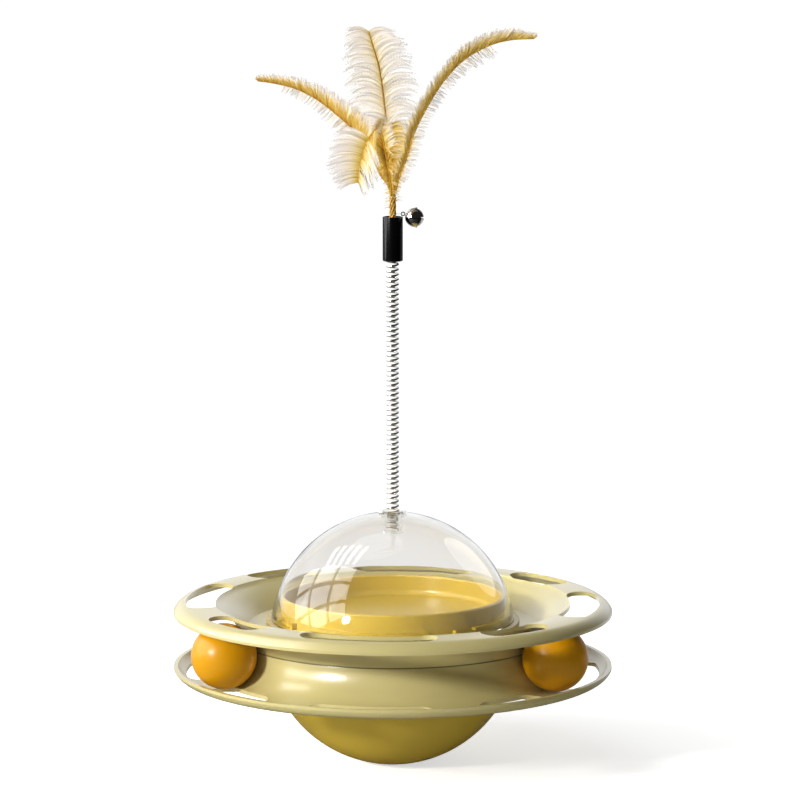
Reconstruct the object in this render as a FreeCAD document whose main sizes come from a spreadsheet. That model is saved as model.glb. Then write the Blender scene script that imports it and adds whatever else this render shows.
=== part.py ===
import FreeCAD, Part
import Sketcher

import math
import os
import re

# Rotating feather cat toy: a weighted round foot with a ball track round its waist, a clear dome over
# a treat tray, and a spring with feathers and a bell. Millimetres, +Z up, origin under the foot.

doc = FreeCAD.newDocument("feather_cat_toy")

# Driving sizes

SIZES = {
    # base shell: a sphere with a small flat foot, centred on the waist plane
    "ShellRadius": 72.5,
    "ShellWall": 2.5,
    "FootRadius": 12.0,
    "FootWall": 2.5,
    # ball track: two mirrored rings that meet on the waist plane
    "RimRadius": 125.0,
    "WaistRadius": 87.4,
    "BallRadius": 18.5,
    "BallWall": 1.6,
    "GrooveGap": 0.9,
    "RunGap": 0.3,
    "LeftBallAngle": 208.1,
    "BallStepAngle": 120.0,
    "TrackWall": 2.4,
    "RimDrop": 6.8,
    "RimBand": 1.6,
    "RimWall": 2.4,
    "RimCurve": 9.0,
    "CeilingShare": 0.58,
    "ShoulderIn": 7.0,
    "ShoulderDrop": 0.5,
    "CrownCurve": 67.5,
    "BowlLipIn": 5.2,
    "BowlLipEdge": 1.4,
    "BowlFootRadius": 82.0,
    "BowlCurve": 42.0,
    "ShelfHeight": 8.0,
    "FloorWall": 2.4,
    "HubOpening": 46.0,
    "HubWall": 2.4,
    "RibDepth": 4.0,
    "RibWall": 1.8,
    "RibGap": 0.3,
    # slots in both rings: four long and four short, alternately
    "SlotFromRim": 7.0,
    "SlotPastCentre": 5.8,
    "LongSlotArc": 40.0,
    "ShortSlotArc": 23.0,
    "LongSlotAngle": 83.0,
    "SlotStepAngle": 45.0,
    # screws that pull the rings onto the base shell
    "HubScrewCircle": 58.0,
    "HubScrewLength": 18.0,
    "RingBossRadius": 5.2,
    "ShellBossRadius": 4.0,
    "ShankRadius": 1.5,
    "ShankGap": 0.2,
    "PilotGap": 0.05,
    "PilotEnd": 1.0,
    "HeadRadius": 2.8,
    "HeadHeight": 2.0,
    "HeadGap": 0.4,
    # weight in the bottom of the base shell, under its plate
    "WeightRise": 20.0,
    "WeightFromBoss": 3.0,
    "WeightGap": 0.3,
    "PlateThickness": 2.4,
    "PlateGap": 0.6,
    "PlateScrewIn": 5.9,
    "PlateScrewLength": 7.0,
    "PlateBossRadius": 3.5,
    # treat tray
    "TrayFlangeRadius": 72.3,
    "TrayFlange": 3.0,
    "TrayWallRadius": 63.5,
    "TrayWall": 2.2,
    "TrayRimRise": 17.0,
    "TrayFloorRise": 5.5,
    "TrayCorner": 3.0,
    "SkirtDepth": 4.0,
    "SkirtGap": 0.4,
    # bayonet between the tray and the dome, four times round
    "LedgeReach": 3.0,
    "LedgeRise": 2.5,
    "LedgeHeight": 1.5,
    "LedgeArc": 64.0,
    "LedgeAngle": 255.6,
    "StopAngle": 302.3,
    "StopArc": 1.6,
    "LugArc": 12.0,
    "LugAngle": 270.0,
    "LugGap": 0.3,
    "LugReachGap": 0.7,
    # dome
    "DomeRadius": 70.0,
    "DomeWall": 1.8,
    "DomeCentreRise": 2.0,
    "SeatGap": 0.1,
    "DomeHoleGap": 0.3,
    # spring socket in the dome's crown
    "SocketFlangeRadius": 8.0,
    "SocketFlange": 1.4,
    "SocketTubeRadius": 5.5,
    "SocketDepth": 11.6,
    "SocketFloor": 1.2,
    "SpringFit": 0.38,
    # spring
    "SpringRadius": 3.62,
    "SpringWire": 1.15,
    "SpringLength": 164.5,
    "SpringPitch": 2.8,
    "SpringRest": 0.05,
    # sleeve, plug and quills
    "SleeveRadius": 5.72,
    "SleeveWall": 1.0,
    "SleeveLength": 25.2,
    "SpringInSleeve": 10.1,
    "PlugGap": 0.05,
    "PlugBoreGap": 0.2,
    "PlugSet": 0.6,
    "PlugWeb": 2.0,
    "PlugSocket": 9.0,
    "QuillRadius": 2.0,
    "QuillTaper": 0.3,
    "QuillLength": 25.0,
    # bell beside the sleeve's mouth
    "BellRadius": 5.6,
    "BellLength": 10.66,
    "BellWall": 0.45,
    "BellRim": 0.37,
    "BellRimWidth": 0.5,
    "BellSeamOffset": 1.0,
    "BellSlotWidth": 0.9,
    "BellSlotLength": 7.6,
    "BellGap": 1.2,
    "BellDrop": 0.5,
    "ClapperRadius": 1.6,
    "ClapperGap": 0.3,
    "EyeRadius": 1.0,
    "EyeWire": 0.35,
    "EyeGap": 0.15,
    "LineRadius": 0.2,
    "LineGap": 0.2,
    "LineEndRadius": 0.9,
}

# Places and sizes that follow from the driving ones. Heights are above the waist plane.

PLACES = {
    "WaistHeight": "sqrt(ShellRadius^2 - FootRadius^2)",
    "ShellInner": "ShellRadius - ShellWall",
    "WeightDepth": "ShellInner - WeightRise",
    "GrooveRadius": "BallRadius + GrooveGap",
    "GrooveCentre": "WaistRadius + GrooveRadius",
    "BallHeight": "RunGap + BallRadius - GrooveRadius",
    "CrownHeight": "GrooveRadius + TrackWall",
    "RimHeight": "CrownHeight - RimDrop",
    "CeilingEnd": "GrooveCentre + CeilingShare * (RimRadius - RimWall - GrooveCentre)",
    "SlotOuter": "RimRadius - SlotFromRim",
    "SlotInner": "GrooveCentre - SlotPastCentre",
    "SlotMiddle": "(SlotOuter + SlotInner) / 2",
    "SlotCap": "(SlotOuter - SlotInner) / 2",
    "HubInner": "WaistRadius - HubWall",
    "WebHeight": "ShelfHeight - FloorWall",
    "HeadSeat": "FloorWall - WebHeight",
    "HubScrewTip": "HeadSeat - HubScrewLength",
    "PlateTop": "PlateThickness - WeightDepth",
    "PlateRadius": "sqrt(ShellInner^2 - WeightDepth^2) - PlateGap",
    "PlateScrewTip": "PlateTop - PlateScrewLength",
    "PlateScrewCircle": "PlateRadius - PlateScrewIn",
    "WeightRadius": "PlateScrewCircle - PlateBossRadius - WeightFromBoss",
    "TrayTop": "ShelfHeight + TrayFlange",
    "LedgeHeightLow": "TrayTop + LedgeRise",
    "DomeFoot": "TrayTop + SeatGap",
    "DomeHole": "SocketTubeRadius + DomeHoleGap",
    "DomeInner": "DomeRadius - DomeWall",
    "CrownTop": "DomeCentreRise + sqrt(DomeRadius^2 - DomeHole^2)",
    "FlangeHeight": "CrownTop + SeatGap",
    "SocketBottom": "FlangeHeight - SocketDepth",
    "SocketBore": "SpringRadius + SpringFit",
    "SpringBottom": "SocketBottom + SocketFloor + SpringRest",
    "SpringTop": "SpringBottom + SpringLength",
    "SleeveBottom": "SpringTop - SpringInSleeve",
    "SleeveTop": "SleeveBottom + SleeveLength",
    "SleeveBore": "SleeveRadius - SleeveWall",
    "PlugWebLow": "SpringTop + SpringRest",
    "QuillBottom": "PlugWebLow + PlugWeb + SpringRest",
    "QuillTop": "QuillBottom + QuillLength",
    "BellCentre": "SleeveRadius + BellGap + BellLength / 2",
    "BellHeight": "SleeveTop - BellDrop",
    "EyeHeight": "SleeveTop + EyeGap + EyeRadius + EyeWire",
    "EyeFromBell": "sqrt((BellLength / 2)^2 - (EyeHeight - BellHeight)^2)",
    "EyeCentre": "BellCentre - EyeFromBell - EyeRadius - EyeWire - EyeGap",
}

NAME = re.compile(r"\b[A-Z][A-Za-z]+\b")


def full(expression):
    """Put the name of its sheet before each size."""
    def place(found):
        name = found.group(0)
        return ("Sizes." if name in SIZES else "Places.") + name
    return NAME.sub(place, str(expression))


def fill_sheet(label, cells):
    """One row a value: its name, then the value under that name as an alias."""
    sheet = doc.addObject("Spreadsheet::Sheet", label)
    for row, (name, value) in enumerate(cells.items(), start=1):
        sheet.set(f"A{row}", name)
        sheet.set(f"B{row}", value)
        sheet.setAlias(f"B{row}", name)
    doc.recompute()
    return sheet


fill_sheet("Sizes", {name: str(size) for name, size in SIZES.items()})
places = fill_sheet("Places", {name: "=" + full(formula) for name, formula in PLACES.items()})


def value(expression):
    """What an expression of the sheets' names comes to."""
    return float(places.evalExpression(full(expression)))


def bind(thing, **properties):
    """Drive properties of an object by expressions; x, y and z are its place."""
    for name, expression in properties.items():
        path = f"Placement.Base.{name}" if name in "xyz" else name
        thing.setExpression(path, full(expression))
    return thing


# Helpers for bodies and sketches

def new_body(label, height="WaistHeight"):
    """A body whose own origin stands at a height above the foot."""
    body = doc.addObject("PartDesign::Body", label)
    return bind(body, z=height)


def of_origin(body, role):
    """One of the body's own planes or axes."""
    return next(item for item in body.Origin.OriginFeatures if item.Role == role)


def new_sketch(body, name, plane="XZ_Plane", height="0"):
    """A sketch on one of the body's planes, or a height above it."""
    sketch = body.newObject("Sketcher::SketchObject", name)
    sketch.AttachmentSupport = [(of_origin(body, plane), "")]
    sketch.MapMode = "FlatFace"
    sketch.setExpression("AttachmentOffset.Base.z", full(height))
    return sketch


def hold(sketch, kind, geometry, point, expression):
    """Hold one coordinate of a sketch point to an expression."""
    if expression == "0":
        axis = -2 if kind == "DistanceX" else -1
        sketch.addConstraint(Sketcher.Constraint("PointOnObject", geometry, point, axis))
        return
    number = sketch.addConstraint(Sketcher.Constraint(kind, geometry, point, value(expression)))
    sketch.setExpression(f"Constraints[{number}]", full(expression))


def arc_between(start, end, radius, turn):
    """The arc of less than a half circle that turns left (1) or right (-1)."""
    chord = end - start
    side = FreeCAD.Vector(-chord.y, chord.x, 0).normalize()
    reach = math.sqrt(radius ** 2 - (chord.Length / 2) ** 2)
    centre = (start + end) / 2 + side * reach * turn
    first, last = (start, end) if turn > 0 else (end, start)
    angles = [math.atan2(p.y - centre.y, p.x - centre.x) for p in (first, last)]
    circle = Part.Circle(centre, FreeCAD.Vector(0, 0, 1), radius)
    return Part.ArcOfCircle(circle, angles[0], angles[1])


def outline(body, name, corners, plane="XZ_Plane", height="0"):
    """A closed outline with every corner held.

    A corner is (across, up), or (across, up, radius, turn) where the edge that arrives at it is an arc.
    """
    sketch = new_sketch(body, name, plane, height)
    points = [FreeCAD.Vector(value(c[0]), value(c[1]), 0) for c in corners]
    ends = []
    for number, corner in enumerate(corners):
        start, end = points[number - 1], points[number]
        if len(corner) == 2:
            sketch.addGeometry(Part.LineSegment(start, end))
            ends.append((1, 2))
        else:
            sketch.addGeometry(arc_between(start, end, value(corner[2]), corner[3]))
            ends.append((1, 2) if corner[3] > 0 else (2, 1))
    for number, corner in enumerate(corners):
        after = (number + 1) % len(corners)
        meets = Sketcher.Constraint("Coincident", number, ends[number][1], after, ends[after][0])
        sketch.addConstraint(meets)
        hold(sketch, "DistanceX", number, ends[number][1], corner[0])
        hold(sketch, "DistanceY", number, ends[number][1], corner[1])
        if len(corner) == 4:
            held = sketch.addConstraint(Sketcher.Constraint("Radius", number, value(corner[2])))
            sketch.setExpression(f"Constraints[{held}]", full(corner[2]))
    return sketch


def disc(body, name, across, up, radius, plane="XY_Plane", height="0"):
    """A sketch with one circle."""
    sketch = new_sketch(body, name, plane, height)
    centre = FreeCAD.Vector(value(across), value(up), 0)
    sketch.addGeometry(Part.Circle(centre, FreeCAD.Vector(0, 0, 1), value(radius)))
    hold(sketch, "DistanceX", 0, 3, across)
    hold(sketch, "DistanceY", 0, 3, up)
    held = sketch.addConstraint(Sketcher.Constraint("Radius", 0, value(radius)))
    sketch.setExpression(f"Constraints[{held}]", full(radius))
    return sketch


def revolve(body, sketch, axis="V_Axis"):
    """Turn an outline a full circle about an axis of its sketch."""
    turned = body.newObject("PartDesign::Revolution", sketch.Name + "_turned")
    turned.Profile = sketch
    turned.ReferenceAxis = (sketch, [axis])
    turned.Angle = 360
    body.Tip = turned
    doc.recompute()
    return turned


def volume_of(body):
    """The body's volume, or 0 before it has a shape."""
    doc.recompute()
    return 0.0 if body.Shape.isNull() else body.Shape.Volume


def raise_pad(body, sketch, length):
    """Add material from the sketch along its normal."""
    before = volume_of(body)
    pad = body.newObject("PartDesign::Pad", sketch.Name + "_pad")
    pad.Profile = sketch
    bind(pad, Length=length)
    body.Tip = pad
    if volume_of(body) <= before:
        raise RuntimeError(f"{pad.Name} adds nothing")
    return pad


def cut_pocket(body, sketch, length, along=False):
    """Cut from the sketch against its normal, or along it."""
    before = volume_of(body)
    pocket = body.newObject("PartDesign::Pocket", sketch.Name + "_cut")
    pocket.Profile = sketch
    pocket.Reversed = along
    bind(pocket, Length=length)
    body.Tip = pocket
    if volume_of(body) >= before:
        raise RuntimeError(f"{pocket.Name} cuts nothing")
    return pocket


def repeat(body, features, count, axis="Z_Axis", angle=360.0):
    """Repeat features about an axis of the body."""
    before = volume_of(body)
    pattern = body.newObject("PartDesign::PolarPattern", features[0].Name + "_round")
    pattern.Originals = features
    pattern.Axis = (of_origin(body, axis), [""])
    pattern.Angle = angle
    pattern.Occurrences = count
    body.Tip = pattern
    if abs(volume_of(body) - before) < 1e-6:
        raise RuntimeError(f"{pattern.Name} repeats nothing")
    return pattern


def sector(body, name, inner, outer, middle, arc, height):
    """A flat piece of a ring, centred on an angle."""
    low = f"({middle} - {arc} / 2)"
    high = f"({middle} + {arc} / 2)"
    corners = [
        (f"{inner} * cos({low})", f"{inner} * sin({low})", inner, -1),
        (f"{outer} * cos({low})", f"{outer} * sin({low})"),
        (f"{outer} * cos({high})", f"{outer} * sin({high})", outer, 1),
        (f"{inner} * cos({high})", f"{inner} * sin({high})"),
    ]
    return outline(body, name, corners, "XY_Plane", height)


def round_slot(body, name, middle, arc):
    """A slot along the track with round ends."""
    turn = f"({arc} / 2 - asin(SlotCap / SlotMiddle) / 1 deg)"
    low = f"({middle} - {turn})"
    high = f"({middle} + {turn})"

    def on(radius, angle, past="0"):
        """A point at a radius and an angle, and some way past that angle."""
        return (f"{radius} * cos({angle}) - {past} * sin({angle})",
                f"{radius} * sin({angle}) + {past} * cos({angle})")

    corners = [
        (*on("SlotInner", low), "SlotInner", -1),
        (*on("SlotMiddle", low, "(-SlotCap)"), "SlotCap", 1),
        (*on("SlotOuter", low), "SlotCap", 1),
        (*on("SlotOuter", high), "SlotOuter", 1),
        (*on("SlotMiddle", high, "SlotCap"), "SlotCap", 1),
        (*on("SlotInner", high), "SlotCap", 1),
    ]
    return outline(body, name, corners, "XY_Plane")


# Helpers for primitives and booleans

def primitive(kind, name, **properties):
    """A primitive solid with its sizes and place bound."""
    return bind(doc.addObject(f"Part::{kind}", name), **properties)


def cylinder(name, radius, bottom, top, circle="0", angle="0"):
    """An upright cylinder between two heights, on a circle round the axis."""
    return primitive("Cylinder", name, Radius=radius, Height=f"{top} - ({bottom})",
                     x=f"{circle} * cos({angle})", y=f"{circle} * sin({angle})", z=bottom)


def joined(name, shapes, kind="MultiFuse"):
    """Several solids as one object."""
    group = doc.addObject(f"Part::{kind}", name)
    if kind == "Compound":
        group.Links = shapes
    else:
        group.Shapes = shapes
    return group


def cut(name, base, tool):
    """One solid less another."""
    result = doc.addObject("Part::Cut", name)
    result.Base = base
    result.Tool = tool
    return result


def round_angles(count, first=0.0):
    """Evenly spaced angles in degrees."""
    return [first + 360.0 * number / count for number in range(count)]


HUB_SCREWS = round_angles(4, 45.0)
PLATE_SCREWS = round_angles(3, 90.0)
SLOT_PAIRS = 4
BAYONETS = 4


# Base shell: a zone of a sphere, with screw bosses that grow down to its wall

def build_base_shell():
    """The olive shell that the toy stands and rocks on."""
    outer = primitive("Sphere", "shell_outside", Radius="ShellRadius",
                      Angle1="-asin(WaistHeight / ShellRadius)", Angle2="-asin(ShelfHeight / ShellRadius)")
    inner = primitive("Sphere", "shell_inside", Radius="ShellInner",
                      Angle1="-asin((WaistHeight - FootWall) / ShellInner)", Angle2="0")
    bosses = []
    pilots = []
    for number, angle in enumerate(HUB_SCREWS):
        bosses.append(cylinder(f"hub_boss_{number}", "ShellBossRadius", "-ShellRadius", "0",
                               "HubScrewCircle", angle))
        pilots.append(cylinder(f"hub_pilot_{number}", "(ShankRadius + PilotGap)", "(HubScrewTip - PilotEnd)",
                               "0", "HubScrewCircle", angle))
    for number, angle in enumerate(PLATE_SCREWS):
        bosses.append(cylinder(f"plate_boss_{number}", "PlateBossRadius", "-ShellRadius", "-WeightDepth",
                               "PlateScrewCircle", angle))
        pilots.append(cylinder(f"plate_pilot_{number}", "(ShankRadius + PilotGap)",
                               "(PlateScrewTip - PilotEnd / 2)", "-WeightDepth", "PlateScrewCircle", angle))
    cavity = cut("shell_cavity", inner, joined("shell_bosses", bosses))
    hollow = cut("shell_hollow", outer, cavity)
    shell = cut("base_shell", hollow, joined("shell_pilots", pilots))
    return bind(shell, z="WaistHeight")


# Track rings

def build_track_ring(label, side):
    """One half of the ball track: the upper one with side 1, the lower one with side -1."""
    def at(height):
        return height if height == "0" else f"{side} * ({height})"

    body = new_body(label)
    corners = [
        ("HubInner", at("0")),
        ("WaistRadius", at("0")),
        ("GrooveCentre", at("GrooveRadius"), "GrooveRadius", -side),
        ("CeilingEnd", at("GrooveRadius")),
        ("RimRadius - RimWall", at("RimHeight"), "RimCurve", -side),
        ("RimRadius", at("RimHeight")),
        ("RimRadius", at("RimHeight + RimBand")),
        ("RimRadius - ShoulderIn", at("CrownHeight - ShoulderDrop"), "RimCurve", side),
        ("GrooveCentre - BowlLipIn", at("CrownHeight - ShoulderDrop"), "CrownCurve", side),
        ("GrooveCentre - BowlLipIn - BowlLipEdge", at("CrownHeight - ShoulderDrop - BowlLipEdge")),
        ("BowlFootRadius", at("ShelfHeight"), "BowlCurve", side),
        ("HubOpening", at("ShelfHeight")),
        ("HubOpening", at("WebHeight")),
        ("HubInner", at("WebHeight")),
    ]
    revolve(body, outline(body, label + "_section", corners))
    for kind, middle, arc in (("long", "LongSlotAngle", "LongSlotArc"),
                              ("short", "(LongSlotAngle + SlotStepAngle)", "ShortSlotArc")):
        slot = cut_pocket(body, round_slot(body, f"{label}_{kind}_slot", middle, arc),
                          "CrownHeight + TrackWall", along=side > 0)
        repeat(body, [slot], SLOT_PAIRS)
    return body


def screw_place(number=0, circle="HubScrewCircle", angles=HUB_SCREWS):
    """Where a screw of a circle stands."""
    return f"{circle} * cos({angles[number]})", f"{circle} * sin({angles[number]})"


def build_upper_ring():
    """The upper ring, with the deep bosses that its screws go down."""
    body = build_track_ring("upper_track_ring", 1)
    across, up = screw_place()
    boss = raise_pad(body, disc(body, "ring_boss", across, up, "RingBossRadius", height="-WebHeight"),
                     "2 * WebHeight")
    bore = cut_pocket(body, disc(body, "ring_bore", across, up, "HeadRadius + HeadGap", height="ShelfHeight"),
                      "ShelfHeight - HeadSeat")
    hole = cut_pocket(body, disc(body, "ring_hole", across, up, "ShankRadius + ShankGap", height="HeadSeat"),
                      "2 * FloorWall")
    repeat(body, [boss, bore, hole], len(HUB_SCREWS))
    return body


def build_lower_ring():
    """The lower ring, with screw holes and a rib that centres the base shell."""
    body = build_track_ring("lower_track_ring", -1)
    across, up = screw_place()
    hole = cut_pocket(body, disc(body, "web_hole", across, up, "ShankRadius + ShankGap"), "2 * ShelfHeight")
    repeat(body, [hole], len(HUB_SCREWS))
    rib_foot = "(ShelfHeight + RibDepth)"
    rib_radius = f"(sqrt(ShellInner^2 - {rib_foot}^2) - RibGap)"
    rib = [
        (f"{rib_radius} - RibWall", f"-{rib_foot}"),
        (rib_radius, f"-{rib_foot}"),
        (rib_radius, "-WebHeight"),
        (f"{rib_radius} - RibWall", "-WebHeight"),
    ]
    revolve(body, outline(body, "shell_rib", rib))
    return body


# Screws, as a group of separate solids on a circle

def build_screws(label, angles, circle, seat, tip):
    """Round-headed screws, heads up."""
    screws = []
    for number, angle in enumerate(angles):
        head = cylinder(f"{label}_head_{number}", "HeadRadius", seat, f"({seat} + HeadHeight)", circle, angle)
        shank = cylinder(f"{label}_shank_{number}", "ShankRadius", tip, seat, circle, angle)
        screws.append(joined(f"{label}_{number}", [head, shank]))
    return bind(joined(label, screws, "Compound"), z="WaistHeight")


# Weight and its plate

def build_counterweight():
    """A cast weight that fills the shell's bottom."""
    body = new_body("counterweight")
    bowl = "(ShellInner - WeightGap)"
    low = "(WaistHeight - FootWall - WeightGap)"
    corners = [
        ("0", f"-{low}"),
        (f"sqrt({bowl}^2 - {low}^2)", f"-{low}"),
        ("WeightRadius", f"-sqrt({bowl}^2 - WeightRadius^2)", bowl, 1),
        ("WeightRadius", "-WeightDepth"),
        ("0", "-WeightDepth"),
    ]
    revolve(body, outline(body, "weight_section", corners))
    return body


def build_weight_plate():
    """The disc that clamps the weight."""
    body = new_body("weight_plate")
    blank = disc(body, "plate_disc", "0", "0", "PlateRadius", height="-WeightDepth")
    raise_pad(body, blank, "PlateThickness")
    across, up = screw_place(0, "PlateScrewCircle", PLATE_SCREWS)
    hole = cut_pocket(body, disc(body, "plate_hole", across, up, "ShankRadius + ShankGap", height="PlateTop"),
                      "2 * PlateThickness")
    repeat(body, [hole], len(PLATE_SCREWS))
    return body


# Balls

def build_ball(label, number):
    """A hollow ball that runs in the groove."""
    shell = cut(label, primitive("Sphere", label + "_outside", Radius="BallRadius"),
                primitive("Sphere", label + "_inside", Radius="BallRadius - BallWall"))
    angle = f"(LeftBallAngle + {number} * BallStepAngle)"
    return bind(shell, x=f"GrooveCentre * cos({angle})", y=f"GrooveCentre * sin({angle})",
                z="WaistHeight + BallHeight")


# Treat tray, with the fixed half of the bayonet on its outside

def build_treat_tray():
    """The yellow tray that fills the track's top and carries the dome."""
    body = new_body("treat_tray")
    rim = "(ShelfHeight + TrayRimRise)"
    floor = "(ShelfHeight + TrayFloorRise)"
    inside = "(TrayWallRadius - TrayWall)"
    skirt = "(HubOpening - SkirtGap)"
    corners = [
        ("TrayFlangeRadius", "ShelfHeight"),
        ("TrayFlangeRadius", "TrayTop - TrayWall / 4"),
        ("TrayFlangeRadius - TrayWall / 4", "TrayTop", "TrayWall / 4", 1),
        ("TrayWallRadius", "TrayTop"),
        ("TrayWallRadius", f"{rim} - TrayWall / 2"),
        ("TrayWallRadius - TrayWall / 2", rim, "TrayWall / 2", 1),
        (inside, f"{rim} - TrayWall / 2", "TrayWall / 2", 1),
        (inside, f"{floor} + TrayCorner"),
        (f"{inside} - TrayCorner", floor, "TrayCorner", -1),
        ("0", floor),
        ("0", f"{floor} - TrayWall"),
        (f"{skirt} - TrayWall", f"{floor} - TrayWall"),
        (f"{skirt} - TrayWall", "ShelfHeight - SkirtDepth"),
        (skirt, "ShelfHeight - SkirtDepth"),
        (skirt, f"{floor} - TrayWall"),
        (inside, f"{floor} - TrayWall"),
        (inside, "ShelfHeight"),
    ]
    revolve(body, outline(body, "tray_section", corners))
    root = "(TrayWallRadius - TrayWall / 2)"
    reach = "(TrayWallRadius + LedgeReach)"
    ledge_shape = sector(body, "tray_ledge", root, reach, "LedgeAngle", "LedgeArc", "LedgeHeightLow")
    ledge = raise_pad(body, ledge_shape, "LedgeHeight")
    stop = raise_pad(body, sector(body, "tray_stop", root, reach, "StopAngle", "StopArc", "TrayTop"),
                     "LedgeRise + LedgeHeight")
    repeat(body, [ledge, stop], BAYONETS)
    return body


# Dome, with the turning half of the bayonet inside its foot

def build_dome():
    """The clear dome."""
    body = new_body("dome")
    foot = "(DomeFoot - DomeCentreRise)"
    corners = [
        (f"sqrt(DomeInner^2 - {foot}^2)", "DomeFoot"),
        (f"sqrt(DomeRadius^2 - {foot}^2)", "DomeFoot"),
        ("DomeHole", "CrownTop", "DomeRadius", 1),
        ("DomeHole", "DomeCentreRise + sqrt(DomeInner^2 - DomeHole^2)"),
    ]
    corners[0] += ("DomeInner", -1)
    revolve(body, outline(body, "dome_section", corners))
    middle = f"sqrt((DomeRadius - DomeWall / 2)^2 - {foot}^2)"
    lug = raise_pad(body, sector(body, "dome_lug", "(TrayWallRadius + LugReachGap)", middle,
                                 "LugAngle", "LugArc", "DomeFoot"), "LedgeRise - LugGap - SeatGap")
    repeat(body, [lug], BAYONETS)
    return body


# Spring socket

def build_spring_socket():
    """The clear cup that holds the spring's foot in the dome's crown."""
    body = new_body("spring_socket")
    top = "(FlangeHeight + SocketFlange)"
    corners = [
        ("0", "SocketBottom"),
        ("SocketTubeRadius", "SocketBottom"),
        ("SocketTubeRadius", "FlangeHeight"),
        ("SocketFlangeRadius", "FlangeHeight"),
        ("SocketFlangeRadius", f"{top} - SocketFlange / 2"),
        ("SocketFlangeRadius - SocketFlange / 2", top),
        ("SocketBore", top),
        ("SocketBore", "SocketBottom + SocketFloor"),
        ("0", "SocketBottom + SocketFloor"),
    ]
    revolve(body, outline(body, "socket_section", corners))
    return body


# Paths of arcs and lines for wire and line

def tangent_arc(start, direction, end):
    """The arc that leaves a point in a direction and ends at another."""
    chord = end - start
    side = chord - direction * chord.dot(direction)
    side.normalize()
    radius = chord.Length ** 2 / (2 * chord.dot(side))
    half = math.atan2(chord.dot(side), chord.dot(direction))
    middle = start + direction * radius * math.sin(half) + side * radius * (1 - math.cos(half))
    return Part.Arc(start, middle, end).toShape()


def biarc(start, out, end, into):
    """Two arcs that join two points and their directions."""
    chord = end - start
    both = out + into
    square = 4 - both.dot(both)
    slope = chord.dot(both)
    reach = (math.sqrt(slope ** 2 + square * chord.dot(chord)) - slope) / square
    joint = (start + out * reach + end - into * reach) / 2
    first = tangent_arc(start, out, joint)
    second = tangent_arc(end, into * -1, joint)
    return [first, second]


def helix_point(radius, pitch, turns):
    """A point of a helix after some turns, and its direction there."""
    angle = 2 * math.pi * turns
    point = FreeCAD.Vector(radius * math.cos(angle), radius * math.sin(angle), pitch * turns)
    direction = FreeCAD.Vector(-radius * math.sin(angle), radius * math.cos(angle), pitch / (2 * math.pi))
    return point, direction.normalize()


def swept(path, start, direction, radius, sides):
    """A bar of a few flats along a wire."""
    circle = Part.Circle(start, direction, radius)
    corners = [circle.value(2 * math.pi * side / sides) for side in range(sides)]
    section = Part.makePolygon(corners + corners[:1])
    sweep = Part.BRepOffsetAPI.MakePipeShell(path)
    sweep.add(section)
    sweep.build()
    sweep.makeSolid()
    return sweep.shape()


def feature(label, shape, height):
    """A shape made in code, placed at a height above the waist plane."""
    thing = doc.addObject("Part::Feature", label)
    thing.Shape = shape
    return bind(thing, z=f"WaistHeight + {height}")


WIRE_SIDES = 5


def build_feather_spring():
    """The wand: one wire in close curls with a short straight tail at each end."""
    wire = value("SpringWire")
    radius = value("SpringRadius") - wire / 2
    length = value("SpringLength") - wire
    turns = math.floor(2 * length / value("SpringPitch")) / 2
    tail_rise = wire * helix_point(radius, length / turns, 0)[1].z
    pitch = (length - 2 * tail_rise) / turns
    steps = round(turns * 2)
    stations = [helix_point(radius, pitch, turns * step / steps) for step in range(steps + 1)]
    (first, out), (last, into) = stations[0], stations[-1]
    edges = [Part.LineSegment(first - out * wire, first).toShape()]
    for (start, leaving), (end, arriving) in zip(stations, stations[1:]):
        edges += biarc(start, leaving, end, arriving)
    edges.append(Part.LineSegment(last, last + into * wire).toShape())
    path = Part.Wire(Part.__sortEdges__(edges))
    solid = swept(path, first - out * wire, out, wire / 2, WIRE_SIDES)
    around = 8
    centres = [helix_point(radius, pitch, step / around)[0] for step in range(round(turns * around) + 1)]
    apart = min((centres[number] - centres[number + step]).Length
                for step in (around - 1, around, around + 1) for number in range(len(centres) - step))
    area = WIRE_SIDES / 2 * math.sin(2 * math.pi / WIRE_SIDES) * (wire / 2) ** 2
    print(f"spring: {turns} turns, least gap {apart - wire:.2f} mm, "
          f"volume {solid.Volume:.1f} of {area * path.Length:.1f} mm3")
    return feature("feather_spring", solid, f"SpringBottom + SpringWire / 2 + {tail_rise}")


# Sleeve, plug and quills

def build_sleeve():
    """The black tube over the spring's end and the quills."""
    body = new_body("sleeve")
    edge = "SleeveWall / 4"
    corners = [
        ("SleeveBore", "SleeveBottom"),
        ("SleeveRadius", "SleeveBottom"),
        ("SleeveRadius", f"SleeveTop - {edge}"),
        (f"SleeveRadius - {edge}", "SleeveTop"),
        ("SleeveBore", "SleeveTop"),
    ]
    revolve(body, outline(body, "sleeve_section", corners))
    return body


def build_quill_plug():
    """The plug inside the sleeve: the spring's end below its web, the quills above."""
    body = new_body("quill_plug")
    outer = "(SleeveBore - PlugGap)"
    web_top = "(PlugWebLow + PlugWeb)"
    corners = [
        ("SpringRadius + PlugBoreGap", "SleeveBottom + PlugSet"),
        (outer, "SleeveBottom + PlugSet"),
        (outer, f"{web_top} + PlugSocket"),
        ("QuillRadius + PlugGap", f"{web_top} + PlugSocket"),
        ("QuillRadius + PlugGap", web_top),
        ("0", web_top),
        ("0", "PlugWebLow"),
        ("SpringRadius + PlugBoreGap", "PlugWebLow"),
    ]
    revolve(body, outline(body, "plug_section", corners))
    return body


def build_quill_bundle():
    """The bound quills, up to where the feathers part."""
    body = new_body("quill_bundle")
    corners = [
        ("0", "QuillBottom"),
        ("QuillRadius", "QuillBottom"),
        ("QuillRadius", "QuillBottom + PlugSocket"),
        ("QuillRadius - QuillTaper", "QuillTop"),
        ("0", "QuillTop"),
    ]
    revolve(body, outline(body, "quill_section", corners))
    return body


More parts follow.
